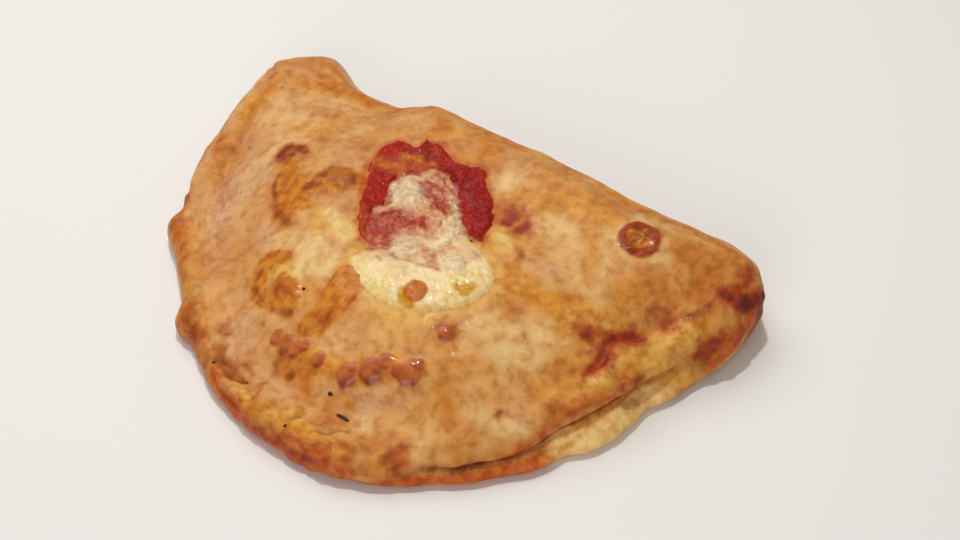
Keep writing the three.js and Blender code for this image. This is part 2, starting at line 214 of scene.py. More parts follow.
def humps(degrees, rows):
    # the sum of rounded humps round the edge, each with its bearing, width and height
    return sum(high * bell((degrees - at + 540) % 360 - 180, 0, width) for at, width, high in rows)


def bearing(xy):
    return np.degrees(np.arctan2(xy[..., 1] - pole[1], xy[..., 0] - pole[0]))


def outwards(points):
    along = np.roll(points, -1, axis=0) - np.roll(points, 1, axis=0)
    along /= np.linalg.norm(along, axis=1, keepdims=True)
    return np.stack([along[:, 1], -along[:, 0]], axis=1)


def makeOutline(count):
    # two rounded half outlines with the ears on them, as count points at even distances
    turn = allRound(1440)
    c, s = np.cos(turn), np.sin(turn)
    reach, power = crustForm["reach"], crustForm["round"]
    along = np.where(c < 0, reach["left"], reach["right"])
    across = np.where(s < 0, reach["front"], reach["back"])
    n = np.where(s < 0, power["front"], power["back"])
    r = (np.abs(c / along) ** n + np.abs(s / across) ** n) ** (-1 / n)
    plain = np.array(crustForm["widest"]) + np.stack([r * c, r * s], axis=1)
    plain = plain + outwards(plain) * humps(bearing(plain), crustForm["ears"])[:, None]
    closed = np.vstack([plain, plain[:1]])
    run = np.concatenate([[0], np.cumsum(np.linalg.norm(np.diff(closed, axis=0), axis=1))])
    wanted = np.arange(count) / count * run[-1]
    return np.stack([np.interp(wanted, run, closed[:, k]) for k in (0, 1)], axis=1)


def sectionAt(degrees):
    stops = np.array([at for at, _ in crustForm["route"]], float)
    shapes = [[crustForm["crown"], *crustForm["sections"][name]] for _, name in crustForm["route"]]
    shapes = np.array(shapes, float)
    i = np.clip(np.searchsorted(stops, degrees, side="left") - 1, 0, len(stops) - 2)
    t = (degrees - stops[i]) / (stops[i + 1] - stops[i])
    return blend(shapes[i], shapes[i + 1], (t * t * (3 - 2 * t))[:, None, None])


def topHeight(section, q):
    # smooth curve through the four top points of each section, level at the innermost
    x, y = -section[:, :4, 0], section[:, :4, 1]
    at = np.maximum(-q, x[:, 0])
    i = (at > x[:, 1]).astype(int) + (at > x[:, 2])
    rows = np.arange(len(q))
    slope = np.zeros_like(x)
    for k in (1, 2, 3):
        last = min(k + 1, 3)
        slope[:, k] = (y[:, last] - y[:, k - 1]) / (x[:, last] - x[:, k - 1])
    h = x[rows, i + 1] - x[rows, i]
    t = (at - x[rows, i]) / h
    return ((2 * t ** 3 - 3 * t ** 2 + 1) * y[rows, i] + (t ** 3 - 2 * t ** 2 + t) * h * slope[rows, i]
            + (3 * t ** 2 - 2 * t ** 3) * y[rows, i + 1] + (t ** 3 - t ** 2) * h * slope[rows, i + 1])


outline = makeOutline(320)
outlineStep = np.linalg.norm(outline[1] - outline[0])
outlineSections = sectionAt(bearing(outline)).reshape(len(outline), -1)


def edgeNear(xy):
    # Each point of the outline counts with the inverse fifth power of its distance. The sum gives a distance
    # from the edge that has no crease in the corners, and the mean section of the edge near each place
    far, sections = [], []
    for part in np.array_split(xy, max(1, len(xy) // 8000)):  # in parts, to save memory
        squared = ((part[:, None, :] - outline[None]) ** 2).sum(axis=2)
        weights = squared ** -2.5
        total = weights.sum(axis=1)
        far.append((0.75 * total * outlineStep) ** -0.25)  # 0.75 makes it exact beside a straight edge
        sections.append((weights / total[:, None]) @ outlineSections)
    return np.concatenate(far), np.concatenate(sections).reshape(-1, 9, 2)


def reliefAt(xy, q):
    z = np.zeros(len(xy))
    for x, y, long, short, turn, height in crustForm["relief"]:
        c, s = math.cos(math.radians(turn)), math.sin(math.radians(turn))
        u = (xy[:, 0] - x) * c + (xy[:, 1] - y) * s
        v = (xy[:, 1] - y) * c - (xy[:, 0] - x) * s
        z += height * np.exp(-(u / long) ** 2 - (v / short) ** 2)
    onRim = smooth(0, 5, q) * np.exp(-(q / crustForm["pleatReach"]) ** 4)
    return z - onRim * humps(bearing(xy) + crustForm["pleatTwist"] * q, crustForm["pleats"])


def topAt(xy):
    q, section = edgeNear(xy)
    return topHeight(section, q) + reliefAt(xy, q)


def evenOut(rows, width):
    # a running mean round the closed edge, width points to each side
    reach = np.arange(-2 * width, 2 * width + 1)
    weights = np.exp(-(reach / width) ** 2)
    return sum(w * np.roll(rows, k, axis=0) for w, k in zip(weights / weights.sum(), reach))


def makeSpokes():
    # each spoke runs from the pole over the dome and round the edge to the foot
    dome, edge = crustForm["domeRings"], crustForm["edgeRings"]
    count = 8 * (dome + edge)
    foot = makeOutline(count)
    normals = evenOut(outwards(foot), crustForm["even"]["outwards"])
    normals /= np.linalg.norm(normals, axis=1, keepdims=True)
    degrees = bearing(foot)
    own = sectionAt(degrees)
    shoulders = foot - normals * shoulder
    atShoulder, _ = edgeNear(shoulders)
    share = 1 - (1 - np.arange(dome + 1) / dome) ** crustForm["outerRings"]
    xy = pole + (shoulders[:, None, :] - pole) * share[None, :, None]
    q, near = edgeNear(xy.reshape(-1, 2))
    startOfEdge = np.repeat(atShoulder, dome + 1)
    local = np.exp(-np.maximum(0, q - startOfEdge) / crustForm["fitDepth"])
    here = blend(near, np.repeat(own, dome + 1, axis=0), local[:, None, None])
    z = topHeight(here, q * blend(1, shoulder / startOfEdge, local)) + reliefAt(xy.reshape(-1, 2), q)
    rings = [np.concatenate([xy, z.reshape(count, -1, 1)], axis=2)]
    # the curve round the edge, with a point before the shoulder and one after the foot to head from and to
    before = np.full(count, float(shoulder + crustForm["pastShoulder"]))
    line = np.concatenate([
        np.stack([before, topHeight(own, before)], axis=1)[:, None],
        own[:, 3:],
        np.stack([own[:, -1, 0] + crustForm["pastFoot"], np.zeros(count)], axis=1)[:, None],
    ], axis=1)
    knot = humps(degrees, crustForm["knots"])
    for i in range(1, edge + 1):
        stop = i / edge * edgeSpans
        k = min(int(1 + stop), edgeSpans)
        qz = throughPoints(*(line[:, k + m] for m in (-1, 0, 1, 2)), 1 + stop - k)
        out = knot * smooth(*crustForm["knotsFrom"], stop)
        place = foot - normals * (qz[:, 0] - out)[:, None]
        swell = reliefAt(place, qz[:, 0]) * smooth(*crustForm["reliefOnEdge"], qz[:, 1])
        height = np.maximum(0, qz[:, 1] + swell) if i < edge else np.zeros(count)
        rings.append(np.column_stack([place, height])[:, None])
    return evenOut(np.concatenate(rings, axis=1), crustForm["even"]["spokes"])


def makeCrustMesh():
    # a square grid whose squares round the middle are the rings, so the faces stay even in size
    spokes = makeSpokes()
    rings = spokes.shape[1] - 1
    count = 8 * rings
    i, j = np.meshgrid(np.arange(-rings, rings + 1), np.arange(-rings, rings + 1), indexing="ij")
    i, j = i.ravel(), j.ravel()
    k = np.maximum(np.abs(i), np.abs(j))
    safe = np.maximum(k, 1)
    share = np.select(
        [k == 0, (i == k) & (j > -k), j == k, i == -k],
        [0 * k, (j + k) / (8 * safe), (3 * k - i) / (8 * safe), (5 * k - j) / (8 * safe)],
        (7 * k + i) / (8 * safe),
    ) * count
    low = np.floor(share).astype(int)
    t = (share - low)[:, None]
    points = blend(spokes[low % count, k], spokes[(low + 1) % count, k], t)
    side = 2 * rings + 1
    grid = np.arange(side * side).reshape(side, side)
    corners = [grid[:-1, :-1], grid[1:, :-1], grid[1:, 1:], grid[:-1, 1:]]
    faces = np.stack(corners, axis=2).reshape(-1, 4).tolist()
    # the underside runs in to the middle in a few rings
    rim = np.concatenate([grid[-1, :-1], grid[:0:-1, -1], grid[0, :0:-1], grid[:-1, 0]])
    under, rows = [points], [rim]
    start = len(points)
    for step in range(1, crustForm["footRings"] + 1):
        inward = points[rim, :2] + (pole - points[rim, :2]) * step / (crustForm["footRings"] + 1)
        under.append(np.column_stack([inward, np.zeros(len(rim))]))
        rows.append(start + np.arange(len(rim)))
        start += len(rim)
    under.append(np.array([[*pole, 0]]))
    faces += ringFaces(np.array(rows)) + fan(rows[-1], start)
    ring = np.concatenate([k, np.full(start + 1 - len(points), rings + 1)])
    return np.vstack(under), faces, ring


base, crustFaces, crustRing = makeCrustMesh()
crustNormals = normalsOf(base, crustFaces)
edgeRing = crustRing - crustForm["domeRings"]
edgeStop = np.clip(edgeRing / crustForm["edgeRings"] * edgeSpans, 0, edgeSpans)
below = edgeRing > crustForm["edgeRings"]
top = np.where(below, 0.0, 1.0)
onDome = 1.0 * (edgeStop == 0)
crustBearing = bearing(base)
print("calzone: crust form,", len(base), "points")


def toLinear(hexColour):
    parts = [int(hexColour[k:k + 2], 16) / 255 for k in (1, 3, 5)]
    return tuple(c / 12.92 if c <= 0.04045 else ((c + 0.055) / 1.055) ** 2.4 for c in parts) + (1,)


def addNode(tree, kind, settings=None, sockets=None):
    made = tree.nodes.new("ShaderNode" + kind)
    for key, value in (settings or {}).items():
        setattr(made, key, value)
    for key, value in (sockets or {}).items():
        if isinstance(value, bpy.types.NodeSocket):
            tree.links.new(value, made.inputs[key])
        else:
            made.inputs[key].default_value = value
    return made


easy = {"interpolation_type": "SMOOTHSTEP"}
ofColours = {"data_type": "RGBA"}  # a Mix node then takes its two colours in sockets 6 and 7


def foodMaterial(name, look):
    # a wet or baked food: a ground of two colours, then a layer of colour and gloss for each painted mask.
    # A layer's edge is broken up by a grain, the more so the more ragged it is
    material = bpy.data.materials.new(name)
    material.use_nodes = True
    tree = material.node_tree
    shader = tree.nodes["Principled BSDF"]
    place = addNode(tree, "TexCoord").outputs["Object"]
    # the values of a grain crowd round 0.5, so each use stretches a middle part of them
    grains = []
    for k, (size, detail, roughness) in enumerate(look["grains"]):
        # each grain is cut from the noise at another place, W
        grains.append(addNode(tree, "TexNoise", {"noise_dimensions": "4D"}, {
            "Vector": place, "W": 3.7 * k, "Scale": 1 / (size * mm), "Detail": detail, "Roughness": roughness,
        }).outputs["Fac"])
    ground = look["ground"]
    share = addNode(tree, "MapRange", easy, {
        "Value": grains[0], "From Min": 0.38, "From Max": 0.62}).outputs[0]
    colour = addNode(tree, "Mix", ofColours, {
        "Factor": share, 6: toLinear(ground["light"]), 7: toLinear(ground["dark"])}).outputs[2]
    speckle = addNode(tree, "MapRange", easy, {
        "Value": grains[1], "From Min": 0.52, "From Max": 0.72, "To Max": ground["specks"]}).outputs[0]
    colour = addNode(tree, "Mix", ofColours, {
        "Factor": speckle, 6: colour, 7: toLinear(ground["speck"])}).outputs[2]
    gloss = addNode(tree, "MapRange", {}, {
        "Value": grains[1], "From Min": 0.3, "From Max": 0.7,
        "To Min": ground["roughness"] - 0.1, "To Max": ground["roughness"] + 0.1}).outputs[0]
    coat = addNode(tree, "MapRange", {}, {
        "Value": grains[2], "From Min": 0.35, "From Max": 0.65,
        "To Min": 0.0, "To Max": 2 * ground["coat"]}).outputs[0]
    # the layers' own two colours alternate in the second grain
    inside = addNode(tree, "MapRange", easy, {
        "Value": grains[1], "From Min": 0.36, "From Max": 0.64}).outputs[0]
    for mask, light, dark, roughness, wet, ragged, soft, grain in look["layers"]:
        painted = addNode(tree, "Attribute", {"attribute_name": mask}).outputs["Fac"]
        broken = addNode(tree, "Math", {"operation": "MULTIPLY_ADD"}, {
            0: grains[grain], 1: float(ragged), 2: painted}).outputs[0]
        edge = 0.5 + 0.5 * ragged
        share = addNode(tree, "MapRange", easy, {
            "Value": broken, "From Min": edge - soft, "From Max": edge + soft}).outputs[0]
        own = addNode(tree, "Mix", ofColours, {
            "Factor": inside, 6: toLinear(light), 7: toLinear(dark)}).outputs[2]
        colour = addNode(tree, "Mix", ofColours, {"Factor": share, 6: colour, 7: own}).outputs[2]
        gloss = addNode(tree, "Mix", {}, {0: share, 2: gloss, 3: roughness}).outputs[0]
        coat = addNode(tree, "Mix", {}, {0: share, 2: coat, 3: wet}).outputs[0]
    fine = addNode(tree, "MapRange", {}, {
        "Value": grains[3], "From Min": 0.3, "From Max": 0.7,
        "To Min": look["fine"], "To Max": 2 - look["fine"]}).outputs[0]
    colour = addNode(tree, "VectorMath", {"operation": "SCALE"}, {0: colour, "Scale": fine}).outputs[0]
    normal = None
    for grain, depth in look["bumps"]:
        sockets = {"Height": grains[grain], "Distance": depth * mm, "Strength": 1.0}
        if normal:
            sockets["Normal"] = normal
        normal = addNode(tree, "Bump", {}, sockets).outputs[0]
    tree.links.new(colour, shader.inputs["Base Color"])
    tree.links.new(gloss, shader.inputs["Roughness"])
    tree.links.new(coat, shader.inputs["Coat Weight"])
    tree.links.new(normal, shader.inputs["Normal"])
    for key, value in look["shader"].items():
        shader.inputs[key].default_value = value
    return material


# Baked wheat dough, brushed by the oil and cheese that ran over it: pale tan where it stayed dry, orange to
# red-brown where it took the heat, and shiny where the film of oil lies on it. Some layers also carry painted
# light: painted shade in the seam's groove, in the rim's creases, on the front of the beads and along the
# back crest, painted light on the lip, and a painted highlight along a streak of cream.
bakedDough = foodMaterial("baked_dough", {
    "grains": [(20, 2, 0.5), (4, 2, 0.5), (9, 3, 0.5), (1.1, 2, 0.5)],  # size in mm, detail, roughness
    "ground": {"light": "#E6B272", "dark": "#D08E4C", "speck": "#C07A3A", "specks": 0.3, "roughness": 0.46,
               "coat": 0.02},
    "fine": 0.95,  # the finest grain darkens it down to this share, and lightens it as much
    # mask, two colours, roughness, coat of oil, how ragged, half the width of its edge, which grain
    "layers": [
        ("pale", "#EECC90", "#E4B870", 0.5, 0.01, 0.6, 0.6, 2),
        ("blush", "#DAAA82", "#C8926A", 0.55, 0, 0.6, 0.6, 2),
        ("golden", "#E29C3C", "#CE8226", 0.4, 0.04, 0.7, 0.6, 2),
        ("browned", "#CA782C", "#B2621E", 0.42, 0.03, 0.7, 0.6, 2),
        # lip: the paler dough of the lip, made lighter still as painted light against the shade under the
        # fold
        ("lip", "#F6CE8A", "#E8B060", 0.5, 0, 0.8, 0.4, 2),
        ("film", "#E6B05C", "#D2943A", 0.4, 0.02, 0.6, 0.5, 2),
        # a creamy film of cheese, and along a thin streak a painted highlight in pale cream
        ("creamAndGlint", "#F2D898", "#E4C074", 0.2, 0.3, 0.7, 0.5, 1),
        ("fried", "#D4862C", "#BE681C", 0.22, 0.3, 0.5, 0.5, 1),
        ("toasted", "#AE5C24", "#8E4418", 0.34, 0.06, 0.6, 0.5, 1),
        ("leak", "#CC6428", "#B84E1E", 0.34, 0.06, 0.7, 0.5, 1),
        ("wine", "#AC4626", "#923420", 0.36, 0.05, 0.6, 0.5, 1),
        ("bead", "#C66E36", "#AE562A", 0.16, 0.5, 0.3, 0.5, 1),
        # the front side of each bead, painted darker: painted shade
        ("beadFrontShade", "#9C4628", "#863620", 0.2, 0.4, 0.3, 0.5, 1),
        # seam: the crimp's red-brown, deepened with painted shade in the groove over the lip
        ("seam", "#8C3A26", "#722A18", 0.4, 0, 0.8, 0.5, 1),
        ("char", "#8C3828", "#6C2A22", 0.4, 0.06, 0.5, 0.5, 1),
        ("under", "#B47A42", "#8A5228", 0.7, 0, 1, 0.3, 2),
    ],
    "bumps": [(3, 0.12), (1, 0.4)],  # which grain, depth in mm
    "shader": {"IOR": 1.45, "Subsurface Weight": 0.1, "Subsurface Radius": (1.0, 0.45, 0.2),
               "Subsurface Scale": 0.003, "Coat Roughness": 0.12, "Specular IOR Level": 0.1},
})

# Cooked tomato sauce, thick with pulp: deep crimson, wet, with orange where it is thin.
tomatoSauce = foodMaterial("tomato_sauce", {
    "grains": [(5, 3, 0.6), (1.8, 3, 0.6), (3.5, 4, 0.6), (0.8, 3, 0.6)],
    "ground": {"light": "#AE2216", "dark": "#921812", "speck": "#BE3A1C", "specks": 0.6, "roughness": 0.34,
               "coat": 0.13},
    "fine": 0.85,
    "layers": [
        ("thin", "#C05A24", "#A83E1C", 0.3, 0.2, 1, 0.5, 1),
        ("dark", "#8A1614", "#761010", 0.3, 0.16, 0.8, 0.5, 2),
        ("smoothRed", "#9A1C14", "#88140E", 0.24, 0.14, 0.8, 0.5, 2),
        ("orange", "#D08234", "#BC5E24", 0.3, 0.2, 0.9, 0.5, 1),
    ],
    "bumps": [(3, 0.2), (1, 0.5)],
    "shader": {"IOR": 1.4, "Subsurface Weight": 0.12, "Subsurface Radius": (1.0, 0.2, 0.1),
               "Subsurface Scale": 0.002, "Coat Roughness": 0.06, "Specular IOR Level": 0.08},
})

# Melted mozzarella: cream and lumpy where it stands in the sauce, with red drawn into it, and a smooth
# yellow pool where it ran out. Oily, so it glints.
meltedCheese = foodMaterial("melted_cheese", {
    "grains": [(7, 3, 0.55), (1.7, 3, 0.6), (3, 4, 0.6), (0.7, 3, 0.6)],
    "ground": {"light": "#FBE2AA", "dark": "#F4D094", "speck": "#F8E4BC", "specks": 0.4, "roughness": 0.26,
               "coat": 0.2},
    "fine": 0.96,
    "layers": [
        ("yellow", "#F6DE8E", "#ECCB70", 0.2, 0.35, 0.6, 0.6, 2),
        ("pink", "#DC9064", "#C46C44", 0.3, 0.12, 0.9, 0.6, 2),
        ("white", "#EAD2A8", "#D8B488", 0.24, 0.4, 0.7, 0.6, 2),
        ("edge", "#E8BC66", "#D6A048", 0.26, 0.1, 0.7, 0.5, 2),
        ("red", "#B43220", "#9C2416", 0.28, 0.16, 1.0, 0.6, 1),
        ("line", "#B4825C", "#966444", 0.3, 0.1, 0.7, 0.6, 1),
        ("gold", "#D89E2C", "#CA8C1C", 0.2, 0.14, 0.4, 0.5, 1),
        ("hole", "#CE7818", "#B65C0C", 0.26, 0.06, 0.3, 0.4, 1),
    ],
    "bumps": [(3, 0.12), (1, 0.4)],
    "shader": {"IOR": 1.45, "Subsurface Weight": 0.25, "Subsurface Radius": (1.0, 0.6, 0.3),
               "Subsurface Scale": 0.0015, "Coat Roughness": 0.07, "Specular IOR Level": 0.2},
})

# Dried oregano leaf: near black, rough and dry.
driedHerb = foodMaterial("dried_herb", {
    "grains": [(0.8, 2, 0.5), (0.4, 2, 0.5), (0.6, 2, 0.5), (0.3, 2, 0.5)],
    "ground": {"light": "#3A2412", "dark": "#24160C", "speck": "#5A4020", "specks": 0.5, "roughness": 0.7,
               "coat": 0},
    "fine": 0.9,
    "layers": [],
    "bumps": [(3, 0.05)],
    "shader": {"IOR": 1.45},
})


# Where the toppings lie, seen from above in mm.
toppings = {
    "tomato_sauce": {
        "middle": (-2.4, 22.2),
        "level": 38,  # height in mm of the crust there, where its noises are read
        "closing": 30,  # height of the point inside the crust that closes it
        "thick": 1.3,
        "roll": 2.4,  # how far in from its rim it is at its full thickness
        "sunk": 0.35,  # of its rim in the crust
        "ragged": 1.3,  # how far its rim strays
        "lumps": [(6, 0.5), (2.6, 0.5), (1.3, 0.24)],  # size and height in mm
        "lumpier": 0,  # how much more so where it lies in the sauce
        "heaped": 0,  # how much higher it is there
        "pressed": 1.2,  # how much lower it is under the cheese
        # mask, depth in mm, mask that it spares
        "depths": [("orange", 0.4, ""), ("thin", 0.3, "")],
        # mask, strength, full up to and gone from this far in from the rim, where
        "rimColours": [("thin", 0.9, 0.2, 2.2, "everywhere")],
        "swells": [],
        "outline": [(-15.1, -6.5), (-18.7, -2.6), (-22.7, 3.8), (-26.1, 8.8), (-29.1, 15.1), (-33.5, 21.4),
            (-35.7, 26.7), (-36.4, 31.4), (-38, 37.2), (-36.3, 41.4), (-33.5, 44.2), (-28.6, 43.5),
            (-25.4, 43), (-23.3, 44.7), (-23.4, 48.1), (-20.1, 46.9), (-15.1, 47.9), (-11.2, 45.7),
            (-7, 43.8), (-4.7, 43.9), (-0.4, 44.4), (3.4, 45.7), (7.3, 44.7), (10.3, 41.2), (13.9, 37.9),
            (18.2, 34.4), (21.9, 30.5), (23.4, 25.8), (24.7, 20.1), (26.5, 15.6), (25, 14), (19.4, 13.5),
            (16.5, 1.9), (6.7, -3.2), (-1.1, -7.9), (-8, -9.2), (-11.4, -9)],
        "uneven": (4, 1.4),  # size and distance in mm by which the strokes wander
        # mask: strength, softness in mm, then x, y and radius of the brush
        "strokes": {
            "orange": [
                (0.8, 2.7, [(-32.1, 28.4, 1.6), (-28.4, 28.6, 2), (-24.8, 30.1, 2), (-21.8, 29.9, 1.6)]),
                (0.9, 2.7, [(-25.4, 36.1, 2), (-22.3, 37, 2.2), (-18.4, 37.6, 2)]),
                (0.7, 2.4, [(-21.1, 27.7, 1.6), (-24, 26.5, 1.6)]),
                (0.6, 2.7, [(-13.9, 35.9, 2), (-10.2, 36.1, 1.6)]),
            ],
            "smoothRed": [
                (1, 3.4, [(4.7, 37.4, 3.6), (12.9, 31.1, 4.4), (19.8, 24, 3.6)]),
            ],
            "thin": [
                (0.6, 3.4, [(-18.8, 42.7, 2.4), (-14.8, 42.3, 2.4)]),
                (0.9, 3.4, [(-33.1, 28.4, 2.4), (-28.1, 29.4, 3.2), (-23.8, 32.6, 3.6), (-18.6, 34.6, 3.6),
                    (-12.9, 35.9, 2.8)]),
                (0.7, 2.5, [(-32.5, 25.1, 1.2), (-31.1, 20.8, 1)]),
                (0.7, 2.5, [(-22, 4.1, 2), (-14.8, -4, 2.4), (-8.8, -9.3, 2)]),
            ],
            "dark": [
                (0.8, 2.5, [(-4.3, 37, 2.4), (1.8, 33.8, 2.4)]),
                (0.7, 2, [(-19.3, 41.4, 2.4), (-14.5, 39.4, 2)]),
                (0.6, 2, [(-23.5, 13.4, 2)]),
            ],
        },
        "sharp": {},  # strokes that do not wander
    },
    "melted_cheese": {
        "middle": (7.6, 3.2),
        "level": 38,
        "closing": 30,
        "thick": 1.7,
        "roll": 8,
        "sunk": 0.35,
        "ragged": 0.8,
        "lumps": [(7, 0.45), (3.2, 0.3), (1.4, 0.12)],
        "lumpier": 1.3,
        "heaped": 1.5,
        "pressed": 0,
        "depths": [("hole", -0.2, ""), ("gold", 0.5, "hole"), ("line", 0.3, ""), ("red", 0.3, "")],
        "rimColours": [("red", 0.95, 0.2, 4, "inSauce"), ("pink", 0.8, 1, 8, "inSauce"),
            ("edge", 1, 0.6, 4.5, "onDough")],
        # x, y, radius and height of the swells of the mound and the pool
        "swells": [(-12.4, 19.2, 7.5, 1.2), (-4.4, 12.2, 6, 0.7), (2.6, 25.2, 5, 0.9), (8.6, 18.2, 4, 0.7),
            (3.6, -0.8, 5, 0.9), (23.6, 1.2, 7, 0.8), (10.6, -15.8, 8, 0.5), (34.6, -4.8, 5, 0.4),
            (-5.4, 31.2, 4, 0.8)],
        "outline": [(-21.5, 20.1), (-22.7, 25.4), (-20.6, 28.9), (-16.3, 32), (-13.1, 36.1), (-9.1, 37.6),
            (-3.1, 36.4), (2.4, 33.4), (6.7, 29.3), (10.8, 24.8), (15.4, 20.4), (21.9, 16.4), (27.4, 14.9),
            (33.8, 11), (40.4, 6), (43.7, -0.6), (42.8, -7.4), (37.4, -16.5), (30.8, -23.1), (24.4, -26.9),
            (19.4, -28.7), (13.8, -30.1), (7.8, -29.9), (1.5, -28.1), (-4.9, -25.7), (-9.5, -22.2),
            (-11.6, -18.2), (-10.1, -13), (-9.9, -9.2), (-13.1, -3.8), (-17.6, 0.8), (-19.1, 6.5),
            (-17.5, 10.5), (-19.4, 15.4)],
        "uneven": (7, 2.2),
        "strokes": {
            "yellow": [
                (0.6, 3.4, [(-4.4, -20.9, 2.4), (2.7, -24.2, 3.2), (10.2, -26.9, 3.2)]),
                (0.8, 5.1, [(12.8, -29.2, 2.4), (21.2, -28.4, 2.4), (30.4, -22.9, 2.8), (36.7, -16.4, 3.2),
                    (41.4, -8.8, 2.8), (41.3, 0, 2), (36.8, 6.4, 1.6)]),
                (0.7, 5.1, [(29.8, -12.9, 4), (32.6, -1.5, 3.2)]),
                (0.7, 3.4, [(8.9, -19.3, 2.4), (7.9, -25.8, 2.8), (9.7, -29.9, 2.4)]),
            ],
            "pink": [
                (0.7, 5.1, [(1.6, -9.6, 3.6), (10.3, -2.9, 3.6)]),
                (0.8, 8.5, [(-20.2, 21.6, 6.3), (-10.7, 26.6, 7.1), (1.1, 23.2, 4.8), (2.9, 8.3, 7.9),
                    (-5.9, 1.5, 7.1)]),
                (0.9, 5.1, [(-12.4, -7, 3.2), (-7.4, -9.9, 3.2), (-2.6, -8.9, 2.4)]),
                (0.9, 4.2, [(-24.9, 16.6, 2.4), (-24.6, 21.1, 2), (-21.7, 27.3, 1.6), (-14.3, 31.5, 1.6),
                    (-7, 34.3, 2)]),
                (0.75, 6.8, [(-2.9, -3.7, 5.5), (0.7, 1.9, 5.5), (6.6, 6.4, 4.8), (4.2, 16.5, 4.8),
                    (1.9, 26, 4.8)]),
                (0.8, 3.4, [(-8.5, 11.1, 3.2), (-1.8, 12.1, 3.2)]),
                (0.8, 3.4, [(-1.8, 27.2, 3.2), (3.9, 21.9, 3.2), (3.9, 27.1, 2.4)]),
                (0.7, 3.4, [(-1.2, -1.7, 3.2), (4, 1.8, 3.6), (6, 7.2, 2.4)]),
                (0.7, 3.4, [(-6.9, -8.2, 2.8), (-3.2, -9.3, 2.4)]),
                (0.9, 2.7, [(12, -1.6, 2.4), (16.3, -2.5, 2.4), (17.9, -6, 2)]),
                (0.7, 3.4, [(16.8, 1.8, 2.8), (18, 5.1, 2.4)]),
                (0.5, 3.4, [(26.3, 4.9, 3.2), (27.1, 8.7, 2.4)]),
                (0.6, 3.4, [(-9.7, 32.9, 2.4), (-4, 31.5, 2)]),
            ],
            "white": [
                (1, 2.5, [(-19.8, 20.4, 2.8), (-14.8, 15.1, 3.2)]),
                (0.9, 2.5, [(6, 26.1, 2), (10.5, 21.8, 2), (13.5, 15.7, 2)]),
                (1, 2.7, [(-16.9, 19.8, 3.2), (-12, 20.7, 3.6), (-7.6, 21.1, 2.8)]),
                (1, 5.1, [(-15.7, 19.3, 4.4), (-11.4, 22.4, 5.1), (-6.4, 23.2, 3.6), (-8.1, 15.5, 3.2)]),
                (0.8, 3.4, [(8.4, 24.6, 2), (12.9, 17.1, 2.4), (15.7, 10.7, 2.4)]),
                (0.9, 3.4, [(2.3, -6.3, 3.6), (5.4, -2.6, 3.6)]),
                (0.8, 3.4, [(22.3, 1.6, 3.2), (27.8, -1, 3.2), (24.8, -3.1, 2.8)]),
            ],
            "red": [
                (0.9, 3.4, [(-13, 4.7, 2.8), (-8.9, 6.6, 3.2), (-4.1, 7.7, 3.2)]),
                (0.6, 2.7, [(-7.9, 30.5, 1.2), (-3.5, 29.6, 1.6), (1.1, 27.7, 1.6)]),
                (0.8, 3.4, [(-14.4, -3.2, 3.6), (-10, -6.5, 3.6), (-5.2, -6.8, 2.8)]),
                (0.9, 6.8, [(-14.7, 2, 4.8), (-7.2, -1.7, 5.5), (-4.5, 4.6, 5.1), (1.4, 7.8, 4)]),
                (1, 3.4, [(-11.2, 4.8, 3.2), (-6.7, 4.9, 4), (-1.9, 6, 3.6), (2, 6.9, 3.2),
                    (2.5, 10.7, 2)]),
                (1, 3.4, [(-17.1, 1.5, 4), (-11.4, -2.2, 4.4), (-6, -2, 3.6), (-3.4, -5.4, 2.4)]),
                (0.9, 2.7, [(-8.8, 26.5, 2), (-4.4, 26.9, 2.4), (-0.5, 28, 2)]),
                (0.9, 2.7, [(-3.9, 22.4, 2), (2.4, 21.5, 2.4), (6.7, 19.4, 2)]),
                (0.8, 2.4, [(-3.8, 33.8, 1.6), (2.4, 31.7, 1.6), (7.2, 28.9, 1.6)]),
                (0.75, 3.4, [(-22, 6, 2.8), (-25.2, 12, 2.4), (-27, 18, 2)]),
                (0.9, 1.7, [(-5, 25.3, 1.2), (-1.7, 22.6, 1.6), (0.1, 18.8, 1.4)]),
                (0.8, 1.7, [(-0.6, 30.1, 1.6), (1.2, 28.9, 1.2)]),
                (0.7, 1.7, [(2.4, 24, 1.6), (5.8, 20.6, 1.4)]),
                (0.8, 1.7, [(16, 19.2, 1.2), (19.1, 16.1, 1.2)]),
                (0.8, 2, [(-22, 20.2, 1.6), (-19.2, 15.3, 1.6), (-15.2, 11.3, 1.6)]),
                (0.7, 2, [(-7, 34.3, 1.6), (-0.1, 32.5, 1.2)]),
                (0.8, 2, [(-21.5, 23.3, 1.2), (-18.7, 27.2, 1.2), (-13.7, 30.7, 1.2)]),
            ],
            "line": [
                (0.7, 1.3, [(0.3, -7.9, 0.6), (3.7, -9.3, 0.6), (7.3, -9.9, 0.6), (9.3, -8.4, 0.6),
                    (12.3, -8.7, 0.8), (14.1, -8.1, 0.6)]),
                (0.6, 1.2, [(-0.3, -14.3, 0.7), (2, -13.8, 0.8)]),
                (0.6, 1.3, [(15, -8.1, 0.6), (19.2, -7.7, 0.6), (20.1, -6.4, 0.6)]),
                (0.6, 1.2, [(14.7, 0.3, 0.6), (17.6, -3, 0.6)]),
                (0.6, 1.3, [(9.9, 8.7, 0.8), (9.1, 4.8, 0.6), (6.8, 1.8, 0.6), (3.2, 0.4, 0.6)]),
                (0.5, 1.2, [(25, 9.2, 0.6), (27.8, 9.1, 0.6)]),
                (0.8, 1, [(9.2, 12.1, 1)]),
                (0.5, 0.8, [(27.8, 2.7, 0.6), (28.4, 4.4, 0.6)]),
            ],
        },
        "sharp": {
            "gold": [
                (1, 1.2, [(16.8, -21.4, 1.6), (18.9, -23.6, 2), (21.8, -23.8, 1.8)]),
                (1, 1.6, [(32.2, -8.3, 2), (34.5, -7.9, 2.8), (36, -5.6, 2)]),
            ],
            "hole": [
                (1, 0.9, [(20.7, -18.2, 4.2), (20.9, -19.1, 4.2)]),
            ],
        },
    },
}


